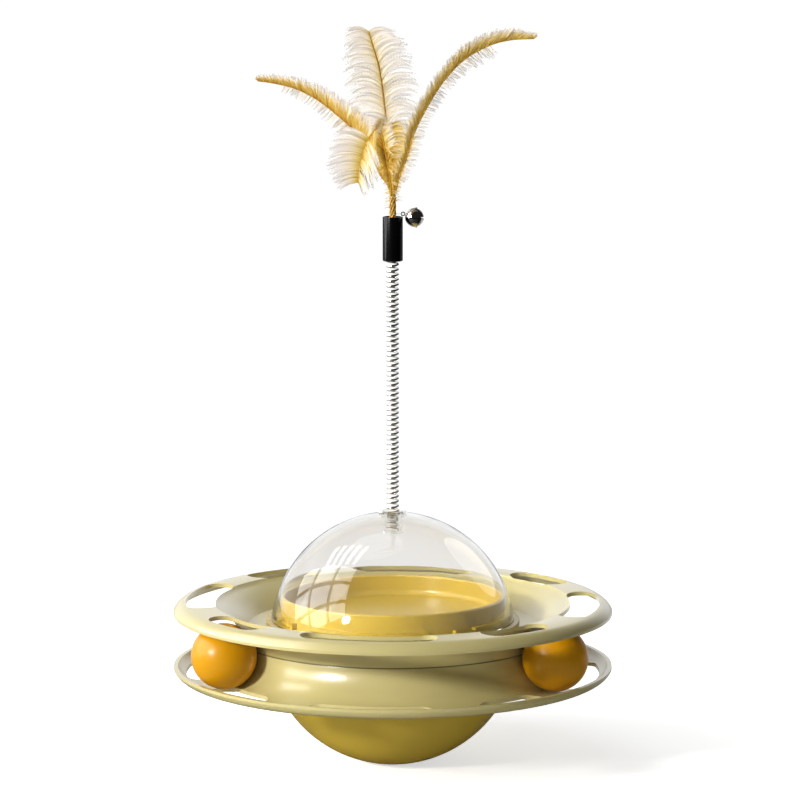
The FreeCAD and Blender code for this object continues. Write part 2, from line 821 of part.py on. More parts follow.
# Feathers: each row is a point of the shaft and the vane's half width there, from the quills' top.
# The vane lies along "across"; its thickness is a share of its half width, within limits.

FEATHERS = {
    "tall_feather": {
        "across": (1.0, 0.0, 0.0),
        "shaft": [
            (0.0, 1.25, 0.0, 0.4), (-0.4, 3.6, 7.0, 0.7), (-1.4, 7.6, 17.0, 5.5), (-2.8, 12.0, 31.0, 14.0),
            (-4.2, 15.0, 45.0, 18.5), (-5.8, 16.6, 59.0, 19.5), (-8.0, 17.4, 72.0, 18.0),
            (-10.6, 17.6, 83.0, 13.0), (-13.4, 17.2, 92.0, 6.0), (-14.6, 16.8, 95.0, 1.2),
        ],
    },
    "left_feather": {
        "across": (0.0, 1.0, 0.0),
        "shaft": [
            (-1.2, 0.35, 0.0, 0.4), (-2.4, 0.2, 6.0, 0.6), (-5.2, -0.6, 14.5, 2.5), (-9.0, -1.4, 24.0, 5.5),
            (-14.4, -2.0, 33.5, 7.0), (-24.5, -2.0, 43.0, 7.5), (-37.0, -2.0, 52.5, 7.5),
            (-50.0, -2.0, 60.5, 7.0), (-64.0, -2.0, 64.8, 5.5), (-78.8, -2.0, 66.0, 1.0),
        ],
    },
    "right_feather": {
        "across": (0.0, 1.0, 0.0),
        "shaft": [
            (1.2, 0.35, 0.0, 0.4), (2.0, 0.8, 6.0, 0.6), (4.2, 1.4, 14.5, 2.5), (7.2, 1.8, 24.0, 5.0),
            (11.5, 2.0, 37.0, 6.5), (17.5, 2.0, 51.0, 7.0), (27.0, 2.0, 66.5, 7.5),
            (42.0, 2.0, 81.0, 7.5), (60.0, 2.0, 89.5, 6.0), (82.4, 2.0, 90.5, 1.0),
        ],
    },
    "front_feather": {
        "across": (0.74, -0.67, 0.0),
        "shaft": [
            (-0.75, -1.0, 0.0, 0.4), (-2.4, -2.8, 8.0, 0.6), (-5.2, -6.0, 20.0, 2.4), (-7.6, -8.7, 31.0, 5.0),
            (-11.2, -12.8, 38.5, 7.0), (-15.6, -17.6, 40.0, 8.5), (-19.4, -21.8, 34.0, 9.5),
            (-21.6, -24.4, 24.0, 9.5), (-22.6, -25.6, 13.0, 7.5), (-23.0, -26.0, 1.0, 1.6),
        ],
    },
    "short_feather": {
        "across": (1.0, 0.0, 0.0),
        "shaft": [
            (0.75, -1.0, 0.0, 0.4), (1.4, -3.4, 5.5, 1.6), (2.6, -5.8, 12.0, 5.5), (3.6, -7.4, 19.0, 7.2),
            (4.2, -8.4, 26.0, 8.0), (4.2, -9.2, 33.0, 7.0), (3.6, -9.8, 39.0, 4.4), (2.8, -10.2, 43.0, 1.0),
        ],
    },
}
VANE_SHARE = 0.12
VANE_THINNEST = 0.35


def lens(centre, across, through, half_width, half_depth):
    """A section of a vane: the two arcs that meet at its edges."""
    left, right = centre - across * half_width, centre + across * half_width
    top, bottom = centre + through * half_depth, centre - through * half_depth
    return Part.Arc(left, top, right).toShape(), Part.Arc(left, bottom, right).toShape()


def ruled_vane(sections):
    """A closed solid of ruled faces through the sections, with a flat face at each end."""
    faces = [Part.Face(Part.Wire(list(section))) for section in (sections[0], sections[-1])]
    for before, after in zip(sections, sections[1:]):
        faces += [Part.makeRuledSurface(low, high) for low, high in zip(before, after)]
    shell = Part.Shell(faces)
    shell.sewShape()
    solid = Part.Solid(shell)
    if solid.Volume < 0:
        solid.reverse()
    return solid


def build_feather(label):
    """A feather as one closed vane along its shaft."""
    vector = FreeCAD.Vector
    across = vector(*FEATHERS[label]["across"])
    shaft = [(vector(x, y, z), half) for x, y, z, half in FEATHERS[label]["shaft"]]
    sections = []
    for number, (centre, half) in enumerate(shaft):
        before = shaft[max(number - 1, 0)][0]
        after = shaft[min(number + 1, len(shaft) - 1)][0]
        along = vector(0, 0, 1) if number == 0 else (after - before).normalize()
        wide = (across - along * across.dot(along)).normalize()
        through = along.cross(wide)
        depth = max(VANE_THINNEST, VANE_SHARE * half)
        sections.append(lens(centre, wide, through, half, depth))
    return feature(label, ruled_vane(sections), "QuillTop")


# Bell

def build_bell_half(label, side):
    """A half shell of the bell: side -1 carries the eye, side 1 has the slots."""
    body = new_body(label, "WaistHeight + BellHeight")
    bind(body, x="BellCentre")
    middle = f"({side} * (BellLength / 2 - BellRadius))"
    seam = "BellSeamOffset"
    rim = f"({seam} + {side} * BellRimWidth)"
    inside = "(BellRadius - BellWall)"
    corners = [
        (f"{side} * BellLength / 2", "0"),
        (rim, f"sqrt(BellRadius^2 - ({rim} - {middle})^2)", "BellRadius", side),
        (rim, "BellRadius + BellRim"),
        (seam, "BellRadius + BellRim"),
        (seam, f"sqrt({inside}^2 - ({seam} - {middle})^2)"),
        (f"{middle} + {side} * {inside}", "0", inside, -side),
    ]
    revolve(body, outline(body, label + "_section", corners), "H_Axis")
    if side > 0:
        half_width = "(BellSlotWidth / 2)"
        reach = "(BellSlotLength / 2)"
        corners = [
            (f"-{reach}", f"-{half_width}"),
            (reach, f"-{half_width}"),
            (f"{reach} + {half_width}", "0", half_width, 1),
            (reach, half_width, half_width, 1),
            (f"-{reach}", half_width),
            (f"-{reach} - {half_width}", "0", half_width, 1),
        ]
        corners[0] += (half_width, 1)
        slot = cut_pocket(body, outline(body, "bell_slot", corners, "YZ_Plane"), "BellLength", along=True)
        repeat(body, [slot], 2, "X_Axis", 90.0)
    return body


def build_bell_inside_and_eye():
    """The clapper that lies in the bell, and the eye that it hangs by."""
    primitive("Sphere", "bell_clapper", Radius="ClapperRadius", x="BellCentre",
              z="WaistHeight + BellHeight - (BellRadius - BellWall - ClapperRadius - ClapperGap)")
    radius = value("EyeRadius")
    vector = FreeCAD.Vector
    right, top = vector(radius, 0, 0), vector(0, 0, radius)
    upper = Part.Arc(right, top, right * -1).toShape()
    lower = Part.Arc(right * -1, top * -1, right).toShape()
    ring = Part.Wire([upper, lower])
    eye = feature("bell_eye", swept(ring, right, vector(0, 0, 1), value("EyeWire"), WIRE_SIDES), "EyeHeight")
    bind(eye, x="EyeCentre")


def build_bell_line():
    """The clear line: one loop round the quills and through the bell's eye."""
    big = value("QuillRadius + LineGap + LineRadius")
    small = value("LineEndRadius")
    far = value("EyeCentre") - small
    lean = math.asin((big - small) / far)
    vector = FreeCAD.Vector

    def on(centre, radius, angle):
        return vector(centre + radius * math.cos(angle), radius * math.sin(angle), 0)

    side = math.pi / 2 - lean
    near_high, near_low = on(0, big, side), on(0, big, -side)
    far_high, far_low = on(far, small, side), on(far, small, -side)
    path = Part.Wire([
        Part.Arc(near_high, vector(-big, 0, 0), near_low).toShape(),
        Part.LineSegment(near_low, far_low).toShape(),
        Part.Arc(far_low, vector(far + small, 0, 0), far_high).toShape(),
        Part.LineSegment(far_high, near_high).toShape(),
    ])
    start = vector(-math.sin(side), math.cos(side), 0)
    loop = swept(path, near_high, start, value("LineRadius"), WIRE_SIDES)
    return feature("bell_line", loop, "EyeHeight")


# The whole toy

build_base_shell()
build_counterweight()
build_weight_plate()
build_screws("weight_screws", PLATE_SCREWS, "PlateScrewCircle", "PlateTop", "PlateScrewTip")
build_lower_ring()
build_upper_ring()
build_screws("hub_screws", HUB_SCREWS, "HubScrewCircle", "HeadSeat", "HubScrewTip")
for number, side_name in enumerate(("left", "right", "back")):
    build_ball("ball_" + side_name, number)
build_treat_tray()
build_dome()
build_spring_socket()
build_feather_spring()
build_sleeve()
build_quill_plug()
build_quill_bundle()
for feather_label in FEATHERS:
    build_feather(feather_label)
build_bell_half("bell_eye_half", -1)
build_bell_half("bell_slot_half", 1)
build_bell_inside_and_eye()
build_bell_line()

NODES = [
    "base_shell", "counterweight", "weight_plate", "weight_screws", "lower_track_ring", "upper_track_ring",
    "hub_screws", "ball_left", "ball_right", "ball_back", "treat_tray", "dome", "spring_socket",
    "feather_spring", "sleeve", "quill_plug", "quill_bundle", *FEATHERS, "bell_eye_half", "bell_slot_half",
    "bell_clapper", "bell_eye", "bell_line",
]

doc.recompute()
for thing in doc.Objects:
    if "Invalid" in thing.State or "Error" in thing.State:
        raise RuntimeError(f"{thing.Label} failed: {thing.State}")

os.makedirs("parts", exist_ok=True)
for node in NODES:
    shape = doc.getObjectsByLabel(node)[0].Shape
    if shape.isNull() or not shape.isValid() or not shape.Solids:
        raise RuntimeError(f"{node} has no valid solid")
    shape.exportStep(f"parts/{node}.step")
    box = shape.optimalBoundingBox()
    print(f"{node}: {len(shape.Solids)} solid(s), {shape.Volume / 1000:.2f} cm3, "
          f"{box.XLength:.1f} x {box.YLength:.1f} x {box.ZLength:.1f} mm")
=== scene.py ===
# %% [markdown]
# # Rotating feather cat toy
# The toy is a round weighted foot with a ball track round its waist, a clear dome over a treat tray, and a
# long spring with feathers and a bell. The measured solids come in as a fixed frame, in metres, and this
# script gives them their finish. The spring, the sleeve, the quills and the feathers are modelled anew here,
# and the two track rings get the fine seam between them.

# %% Frame and sizes
import math
import random

import bmesh
import bpy
import numpy as np
from mathutils import Matrix, Vector
from mathutils.geometry import interpolate_bezier


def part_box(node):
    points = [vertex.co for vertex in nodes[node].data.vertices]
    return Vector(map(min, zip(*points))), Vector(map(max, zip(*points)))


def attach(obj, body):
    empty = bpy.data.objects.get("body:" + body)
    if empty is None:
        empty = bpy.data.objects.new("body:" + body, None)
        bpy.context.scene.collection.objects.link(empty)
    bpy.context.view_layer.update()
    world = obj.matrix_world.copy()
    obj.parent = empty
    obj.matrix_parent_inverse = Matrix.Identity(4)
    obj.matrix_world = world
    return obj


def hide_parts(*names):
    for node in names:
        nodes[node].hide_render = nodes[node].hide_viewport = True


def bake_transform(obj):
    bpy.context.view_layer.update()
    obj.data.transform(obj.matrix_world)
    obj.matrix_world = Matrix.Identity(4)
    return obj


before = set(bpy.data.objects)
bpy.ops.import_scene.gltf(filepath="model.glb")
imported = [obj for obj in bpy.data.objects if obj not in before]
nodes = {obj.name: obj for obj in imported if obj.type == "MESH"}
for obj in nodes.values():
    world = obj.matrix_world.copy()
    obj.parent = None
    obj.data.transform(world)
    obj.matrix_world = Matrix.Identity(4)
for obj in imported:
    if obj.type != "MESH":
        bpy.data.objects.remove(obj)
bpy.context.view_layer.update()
MM = 0.001

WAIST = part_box("lower_track_ring")[1].z
QUILL_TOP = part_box("quill_bundle")[1].z
print(f"toy: {len(nodes)} nodes, waist {WAIST / MM:.1f} mm up, quills end {QUILL_TOP / MM:.1f} mm up")

# %% [markdown]
# ## Camera
# The photograph is a product shot taken from far away with a long lens, eight degrees above the level.
# The distance comes from the ring: its near and far edges differ by only a few pixels, so a long lens a
# little over two metres away gives the same ellipses as the picture.

# %% Camera
LENS = 180.0
SENSOR = 36.0
PITCH = math.radians(8.06)
CAMERA_PLACE = Vector((4.1, -2243.4, 526.0)) * MM

camera_data = bpy.data.cameras.new("camera")
camera_data.lens = LENS
camera_data.sensor_width = SENSOR
camera = bpy.data.objects.new("camera", camera_data)
camera.location = CAMERA_PLACE
camera.rotation_euler = (math.pi / 2 - PITCH, 0, 0)
bpy.context.scene.collection.objects.link(camera)
bpy.context.scene.camera = camera
bpy.context.scene.view_settings.view_transform = "Standard"
print(f"camera {CAMERA_PLACE.length:.2f} m away, lens {LENS:.0f} mm")

# %% [markdown]
# ## Small tools
# Every finish below starts from one shader with its constants on its own sockets, and every new shape
# starts as a bmesh that is turned into an object at the origin. Colours are written as they look on a
# screen, from 0 to 255, and turned into the linear values that a shader wants.

# %% Small tools
def screen(red, green, blue):
    """A screen colour as the shader's linear one."""
    def linear(level):
        share = level / 255
        return share / 12.92 if share <= 0.04045 else ((share + 0.055) / 1.055) ** 2.4
    return (linear(red), linear(green), linear(blue), 1.0)


def finish_named(name, **sockets):
    """A material with one shader, and its tree."""
    material = bpy.data.materials.new(name)
    material.use_nodes = True
    tree = material.node_tree
    shader = tree.nodes["Principled BSDF"]
    for socket, value in sockets.items():
        shader.inputs[socket.replace("_", " ")].default_value = value
    return material, tree, shader


def object_from(name, bm, *materials):
    """The bmesh as a smooth object at the origin."""
    mesh = bpy.data.meshes.new(name)
    bm.to_mesh(mesh)
    bm.free()
    for polygon in mesh.polygons:
        polygon.use_smooth = True
    for material in materials:
        mesh.materials.append(material)
    piece = bpy.data.objects.new(name, mesh)
    bpy.context.scene.collection.objects.link(piece)
    print(f"{name}: {len(mesh.polygons)} faces")
    return piece


def dress(node, material):
    """Give a measured solid its finish."""
    for node_slot in nodes[node].material_slots:
        node_slot.material = material


# %% [markdown]
# ## Steps of a finish
# A finish is a small sum that is worked out at every point of a surface. Each helper here adds one step of
# such a sum to a material's tree: where the point lies, a soft noise, one operation on two values, a span
# spread over new levels, or a bump from a height.

# %% Steps of a finish
def add_node(tree, kind, inputs=None, **settings):
    """A node with its settings and socket values."""
    node = tree.nodes.new(kind)
    for name, value in settings.items():
        setattr(node, name, value)
    for socket, value in (inputs or {}).items():
        if isinstance(value, bpy.types.NodeSocket):
            tree.links.new(value, node.inputs[socket])
        else:
            node.inputs[socket].default_value = value
    return node


def own_place(tree):
    """Where a point lies on its own object."""
    return add_node(tree, "ShaderNodeTexCoord").outputs["Object"]


def noise(tree, place, scale, detail):
    """A soft noise from 0 to 1."""
    return add_node(tree, "ShaderNodeTexNoise", {"Vector": place, "Scale": scale, "Detail": detail}).outputs[0]


def reckon(tree, operation, first, second=0.0):
    """One operation on two values."""
    return add_node(tree, "ShaderNodeMath", {0: first, 1: second}, operation=operation).outputs[0]


def spread(tree, value, reach=(0.0, 1.0), levels=(0.0, 1.0)):
    """A value's reach spread over new levels, and held level outside it."""
    return add_node(tree, "ShaderNodeMapRange", {"Value": value, "From Min": reach[0], "From Max": reach[1],
                                                 "To Min": levels[0], "To Max": levels[1]}).outputs[0]


def mixed_colour(tree, share, first, second):
    """Two colours mixed by a share."""
    return add_node(tree, "ShaderNodeMix", {"Factor": share, "A": first, "B": second},
                    data_type="RGBA").outputs["Result"]


def bump(tree, shader, height, strength, depth):
    """A height felt by the shader as bumps."""
    bumps = add_node(tree, "ShaderNodeBump", {"Height": height, "Strength": strength, "Distance": depth})
    tree.links.new(bumps.outputs[0], shader.inputs["Normal"])


# %% [markdown]
# ## Floor and backdrop
# The picture was shot on white. The toy stands on a white card that catches its soft shadow and fades into
# a wide dark floor, so that little light comes up from below. The camera, and shines that look behind the
# toy, see the floor with a white of its own, which grows to full white away from the toy. The light on the
# toy stays plain, because no other ray sees that white.

# %% Rays that see the background
def seen_rays(tree):
    """1 for rays in a shine, and 1 for rays that look at the background, straight or through glass."""
    rays = add_node(tree, "ShaderNodeLightPath").outputs
    direct = reckon(tree, "LESS_THAN", rays["Diffuse Depth"], 0.5)
    through = reckon(tree, "MULTIPLY", rays["Is Transmission Ray"], direct)
    return rays["Is Glossy Ray"], reckon(tree, "MAXIMUM", rays["Is Camera Ray"], through)


# %% Floor
FLOOR_RADIUS = 40.0
CARD_REACH = (0.3, 0.6)
CARD_TONES = (0.8, 0.04)
LIFT_REACH = (0.12, 0.6)
LIFT_LEVELS = (0.62, 1.0)
SHINE_REACH = (0.6, 1.6)
SHINE_LEVELS = (1.0, 0.25)
BEHIND_REACH = (0.0, 0.4)


def floor_finish():
    """White card on a dark floor; the camera sees it go to white, and shines see it white behind."""
    material, tree, shader = finish_named("floor", Roughness=0.9, Emission_Color=(1, 1, 1, 1))
    shine, straight = seen_rays(tree)
    place = own_place(tree)
    away = add_node(tree, "ShaderNodeVectorMath", {0: place}, operation="LENGTH").outputs["Value"]
    unseen = reckon(tree, "SUBTRACT", 1.0, shine)
    card = reckon(tree, "MULTIPLY", spread(tree, away, CARD_REACH, CARD_TONES), unseen)
    tree.links.new(card, shader.inputs["Base Color"])
    depth = add_node(tree, "ShaderNodeSeparateXYZ", {0: place}).outputs["Y"]
    behind = spread(tree, depth, BEHIND_REACH)
    back = reckon(tree, "MULTIPLY", spread(tree, away, SHINE_REACH, SHINE_LEVELS), behind)
    seen = reckon(tree, "MAXIMUM", straight, reckon(tree, "MULTIPLY", shine, back))
    glow = reckon(tree, "MULTIPLY", seen, spread(tree, away, LIFT_REACH, LIFT_LEVELS))
    tree.links.new(glow, shader.inputs["Emission Strength"])
    return material


bm = bmesh.new()
bmesh.ops.create_circle(bm, cap_ends=True, segments=64, radius=FLOOR_RADIUS)
floor = object_from("floor", bm, floor_finish())

# %% [markdown]
# ## World
# Round the floor the world is white to the camera. The light that it throws on the toy falls from left to
# right, as from a window wall. In shines it is white behind the toy and dim in front of it, as in a studio
# with one white wall, and that dim side gives the chrome and the steel spring their dark halves.

# %% World
ROOM_LIGHT = (0.34, 0.06)
WALL_LEVELS = (0.02, 1.15)
WALL_WAY = (-0.4, 0.92, 0.0)
WALL_EDGE = (0.3, 0.75)
WALL_TOP = (0.45, 0.65)
WALL_ABOVE = 0.25


def set_world():
    """White to the camera and through glass; white behind and dim in front in shines."""
    world = bpy.data.worlds.new("studio")
    bpy.context.scene.world = world
    world.use_nodes = True
    tree = world.node_tree
    background = tree.nodes["Background"]
    background.inputs["Color"].default_value = (1, 1, 1, 1)
    shine, straight = seen_rays(tree)
    way = add_node(tree, "ShaderNodeTexCoord").outputs["Generated"]
    axes = add_node(tree, "ShaderNodeSeparateXYZ", {0: way}).outputs
    facing = add_node(tree, "ShaderNodeVectorMath", {0: way, 1: WALL_WAY}, operation="DOT_PRODUCT")
    side = spread(tree, facing.outputs["Value"], WALL_EDGE)
    below = spread(tree, axes["Z"], WALL_TOP, (1.0, WALL_ABOVE))
    wall = spread(tree, reckon(tree, "MULTIPLY", side, below), levels=WALL_LEVELS)
    room = spread(tree, axes["X"], (-1.0, 1.0), ROOM_LIGHT)
    unseen = add_node(tree, "ShaderNodeMix", {"Factor": shine, "A": room, "B": wall}).outputs[0]
    level = add_node(tree, "ShaderNodeMix", {"Factor": straight, "A": unseen, "B": 1.0}).outputs[0]
    tree.links.new(level, background.inputs["Strength"])


set_world()
print(f"white floor {2 * FLOOR_RADIUS:.0f} m wide and a white world")

# %% [markdown]
# ## Lamps
# One small strong lamp at the front left draws the crisp shadow and the small highlights. A large soft one
# beside it, a top light and a weak light from behind open the shadows. These three are kept out of shines,
# where a plain white square would look false.

# %% Lamps
AIM = Vector((0, 0, 0.12))
KEY_WAY = Vector((-0.688, -0.657, 0.307))
KEY_AWAY = 1.55
WINDOW_WAY = Vector((-0.9, -0.06, 0.44)).normalized()
WINDOW_AWAY = 1.1


def lamp(name, place, size, power, shape="DISK"):
    """A soft lamp aimed at the toy."""
    data = bpy.data.lights.new(name, "AREA")
    data.shape = shape
    data.size = size
    data.energy = power
    light = bpy.data.objects.new(name, data)
    light.location = place
    light.rotation_euler = (AIM - Vector(place)).to_track_quat("-Z", "Y").to_euler()
    bpy.context.scene.collection.objects.link(light)
    print(f"lamp {name}: {size} m wide, {power} W")
    return light


lamp("key", AIM + KEY_WAY * KEY_AWAY, size=0.2, power=22.0)
lamp("daylight", AIM + WINDOW_WAY * WINDOW_AWAY, size=0.8, power=7.0, shape="SQUARE").visible_glossy = False
lamp("top", (-0.3, 0.4, 1.6), size=1.0, power=3.0).visible_glossy = False
lamp("back", (1.2, 1.1, 0.9), size=1.2, power=6.0).visible_glossy = False

# %% [markdown]
# ## Windows in the shines
# The clear dome mirrors a barred window and a slim roof light. Each is a grid of bright panes, made by
# insetting the cells of a flat grid and deleting the frames between them. Only shines see them, so they
# light nothing and cast no shadow.

# %% Windows in the shines
SKYLIGHT_WAY = Vector((-0.53, 0.23, 0.81)).normalized()
WINDOW_GLOW = 6.0
MULLION = 0.042


def window_panes(name, way, size, panes, turn):
    """Window panes seen only in shines."""
    bm = bmesh.new()
    bmesh.ops.create_grid(bm, x_segments=panes[0], y_segments=panes[1], size=0.5)
    bmesh.ops.transform(bm, matrix=Matrix.Diagonal((*size, 1, 1)), verts=bm.verts[:])
    frames = bmesh.ops.inset_individual(bm, faces=bm.faces[:], thickness=MULLION, depth=0)["faces"]
    bmesh.ops.delete(bm, geom=frames, context="FACES_ONLY")
    stand = way.to_track_quat("Z", "Y").to_matrix().to_4x4() @ Matrix.Rotation(math.radians(turn), 4, "Z")
    bmesh.ops.transform(bm, matrix=Matrix.Translation(AIM + way * WINDOW_AWAY) @ stand, verts=bm.verts[:])
    glow = finish_named(name + "_glow", Base_Color=(0, 0, 0, 1), Emission_Color=(1, 1, 1, 1),
                        Emission_Strength=WINDOW_GLOW)[0]
    window = object_from(name, bm, glow)
    for rays in ("camera", "shadow", "diffuse", "transmission"):
        setattr(window, "visible_" + rays, False)


window_panes("window", WINDOW_WAY, size=(1.25, 1.05), panes=(3, 3), turn=38)
window_panes("skylight", SKYLIGHT_WAY, size=(0.6, 0.45), panes=(5, 1), turn=70)

# %% [markdown]
# ## Moulded plastics
# The track, the shell and the tray are injection-moulded: an even colour, a satin gloss, and a surface that
# is never quite flat. A faint cloud in the colour, a little change in gloss and a very fine grain say that,
# all read from object coordinates so that they stay put when a piece moves. On the track, painted shade,
# partly dust, darkens the colour in a thin band along the seam at the waist.

# %% Moulded plastics
CLOUD_SCALE = 14.0
CLOUD_TINT = 0.06
GLOSS_SPREAD = (0.9, 1.15)
GRAIN_SCALE = 2600.0
GRAIN = 0.035
GRAIN_DEPTH = 0.1 * MM
# Painted shade, partly dust, in the seam at the waist: how far it reaches, and how dark it is there.
SEAM_SHADE_REACH = (0.2 * MM, 0.55 * MM)
PAINTED_SEAM_SHADE = (0.38, 1.0)


def moulded(name, colour, roughness, coat=0.0, shine=0.5, joint=None):
    """Satin plastic with a faint cloud and a fine grain, and painted shade in a joint at a height."""
    material, tree, shader = finish_named(name, Roughness=roughness, Coat_Weight=coat, Coat_Roughness=0.25,
                                          Specular_IOR_Level=shine)
    place = own_place(tree)
    cloud = noise(tree, place, CLOUD_SCALE, 3.0)
    shade = tuple(level * (1 - CLOUD_TINT) for level in colour[:3]) + (1.0,)
    paint = mixed_colour(tree, cloud, shade, colour)
    # Painted shade, partly dust: the colour darkens in a thin band at the joint's height, where the gap between
    # the rings would be in shade.
    if joint is not None:
        height = add_node(tree, "ShaderNodeSeparateXYZ", {0: place}).outputs["Z"]
        away = reckon(tree, "ABSOLUTE", reckon(tree, "SUBTRACT", height, joint))
        dim = spread(tree, away, SEAM_SHADE_REACH, PAINTED_SEAM_SHADE)
        paint = add_node(tree, "ShaderNodeHueSaturation", {"Color": paint, "Value": dim}).outputs[0]
    tree.links.new(paint, shader.inputs["Base Color"])
    gloss = spread(tree, cloud, levels=[roughness * part for part in GLOSS_SPREAD])
    tree.links.new(gloss, shader.inputs["Roughness"])
    bump(tree, shader, noise(tree, place, GRAIN_SCALE, 2.0), GRAIN, GRAIN_DEPTH)
    return material


track_plastic = moulded("track_plastic", screen(199, 186, 126), 0.28, coat=0.8, joint=WAIST)
ball_plastic = moulded("ball_plastic", screen(206, 144, 4), 0.32, shine=0.3)
dress("base_shell", moulded("shell_plastic", screen(196, 168, 62), 0.24))
dress("treat_tray", moulded("tray_plastic", screen(174, 146, 42), 0.26))
dress("quill_plug", moulded("plug_plastic", screen(60, 60, 60), 0.4))
for ball in ("ball_left", "ball_right", "ball_back"):
    dress(ball, ball_plastic)
print("moulded plastics on the shell, tray and balls")

# %% [markdown]
# ## Track rings with their seam
# The two track rings meet edge to edge round the waist. Moulded edges are never sharp, so the edge at the
# joint is rounded, and the track's finish paints a fine line of shade, partly dust, along it. The measured
# rings are copied, their loose triangles are merged, and only the edge that runs round the waist is
# bevelled. Each copy then stands for its ring.

# %% Seamed rings
SEAM = 0.45 * MM
CREASE = math.radians(28)
SAME_PLACE = 0.002 * MM
SAME_HEIGHT = 0.01 * MM
LIP_REACH = 0.05 * MM


def seamed_ring(node):
    """The ring's own shape with the edge at the waist rounded off."""
    bm = bmesh.new()
    bm.from_mesh(nodes[node].data)
    bmesh.ops.remove_doubles(bm, verts=bm.verts[:], dist=SAME_PLACE)
    at_waist = {vert for vert in bm.verts if abs(vert.co.z - WAIST) < SAME_HEIGHT}
    outer = max(vert.co.xy.length for vert in at_waist)
    lip = [edge for edge in bm.edges
           if all(vert in at_waist and vert.co.xy.length > outer - LIP_REACH for vert in edge.verts)]
    bmesh.ops.bevel(bm, geom=lip, offset=SEAM, offset_type="OFFSET", segments=3, profile=0.5, affect="EDGES",
                    material=-1)
    bmesh.ops.recalc_face_normals(bm, faces=bm.faces[:])
    for edge in bm.edges:
        edge.smooth = edge.calc_face_angle(0) < CREASE
    print(f"{node}: waist radius {outer / MM:.1f} mm, {len(lip)} edges rounded")
    return object_from(node + "_seamed", bm, track_plastic)


for node in ("upper_track_ring", "lower_track_ring"):
    ring = seamed_ring(node)
    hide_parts(node)
    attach(ring, "hub")

# %% [markdown]
# ## Clear pieces
# The dome and the spring socket are clear acrylic with real walls, so plain transmission gives the bright
# rims and the doubled edges by itself. A trace of grey keeps the dome visible against white, and a slow,
# shallow bump gives its shines the slight wobble of a moulded wall. The socket bends light less than real
# acrylic does, so that the foot of the spring shows through its two walls.

# %% Clear pieces
WAVE_SCALE = 40.0
WAVE = 0.15
WAVE_DEPTH = 1.0 * MM


def clear(name, colour, roughness=0.0, ior=1.49):
    """Clear acrylic, with the faint waves of a moulded wall."""
    material, tree, shader = finish_named(name, Base_Color=colour, Roughness=roughness, IOR=ior,
                                          Transmission_Weight=1.0)
    bump(tree, shader, noise(tree, own_place(tree), WAVE_SCALE, 1.0), WAVE, WAVE_DEPTH)
    return material


dress("dome", clear("dome_acrylic", (0.92, 0.918, 0.915, 1)))
dress("spring_socket", clear("socket_acrylic", (0.96, 0.96, 0.955, 1), ior=1.3))
dress("bell_line", clear("line_nylon", (0.95, 0.95, 0.95, 1), roughness=0.1))
for part in ("dome", "spring_socket", "bell_line"):
    nodes[part].visible_shadow = False
print("clear finishes on the dome, the socket and the bell's line")

# %% [markdown]
# ## Metals
# The bell is bright chrome, the spring is drawn wire with a softer shine, and the parts hidden in the foot
# are cast iron, zinc and steel. Fine streaks in the roughness keep the wire from looking like glass.

# %% Metals
def metal(name, colour, roughness, streak, streak_scale=900.0):
    """A bare or plated metal with a trace of uneven shine."""
    material, tree, shader = finish_named(name, Base_Color=colour, Metallic=1.0, Roughness=roughness)
    uneven = noise(tree, own_place(tree), streak_scale, 4.0)
    gloss = spread(tree, uneven, levels=(roughness * (1 - streak), roughness * (1 + streak)))
    tree.links.new(gloss, shader.inputs["Roughness"])
    return material


chrome = metal("chrome", (0.62, 0.6, 0.58, 1), 0.06, streak=0.3)
spring_steel = metal("spring_steel", (0.6, 0.59, 0.57, 1), 0.14, streak=0.4)
screw_steel = metal("screw_steel", (0.5, 0.5, 0.5, 1), 0.3, streak=0.3)
for part in ("bell_eye_half", "bell_slot_half", "bell_clapper", "bell_eye"):
    dress(part, chrome)
for part in ("weight_screws", "hub_screws"):
    dress(part, screw_steel)
dress("counterweight", metal("cast_iron", (0.09, 0.09, 0.09, 1), 0.6, streak=0.3, streak_scale=300.0))
dress("weight_plate", metal("zinc_plate", (0.55, 0.56, 0.58, 1), 0.35, streak=0.4, streak_scale=200.0))
print("metals on the bell, weight and screws")

# %% [markdown]
# ## Spring
# One wire is wound into fifty-eight open curls. A circle of the wire's size, tipped by the lead of the
# curl, is spun about the spring's axis and lifted a little at each step. The wand bends at two places, and
# the spring is made as two pieces that meet half way.

# %% Spring
SPRING_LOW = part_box("feather_spring")[0].z
SPRING_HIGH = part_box("feather_spring")[1].z
SPRING_RADIUS = 3.62 * MM
WIRE = 1.15 * MM
SPRING_TURNS = 58
SOCKET_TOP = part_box("spring_socket")[1].z
SLEEVE_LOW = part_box("sleeve")[0].z
SPRING_MIDDLE = (SOCKET_TOP + SLEEVE_LOW) / 2
CURL_STEPS = 32
WIRE_SIDES = 10


def coil(name, low_turn, high_turn):
    """Some turns of the spring as one tube."""
    radius = SPRING_RADIUS - WIRE / 2
    pitch = (SPRING_HIGH - SPRING_LOW - WIRE) / SPRING_TURNS
    lead = math.atan(pitch / (2 * math.pi * radius))
    bm = bmesh.new()
    ring = bmesh.ops.create_circle(bm, segments=WIRE_SIDES, radius=WIRE / 2)["verts"]
    start = Matrix.Rotation(2 * math.pi * low_turn, 4, "Z") @ Matrix.Translation(
        (radius, 0, SPRING_LOW + WIRE / 2 + pitch * low_turn)) @ Matrix.Rotation(lead - math.pi / 2, 4, "X")
    bmesh.ops.transform(bm, matrix=start, verts=ring)
    turns = high_turn - low_turn
    steps = round(turns * CURL_STEPS)
    bmesh.ops.spin(bm, geom=bm.verts[:] + bm.edges[:], cent=(0, 0, 0), axis=(0, 0, 1),
                   dvec=(0, 0, pitch / CURL_STEPS), angle=2 * math.pi * turns, steps=steps, use_merge=False)
    bmesh.ops.holes_fill(bm, edges=[edge for edge in bm.edges if edge.is_boundary], sides=WIRE_SIDES)
    bmesh.ops.recalc_face_normals(bm, faces=bm.faces[:])
    return object_from(name, bm, spring_steel)


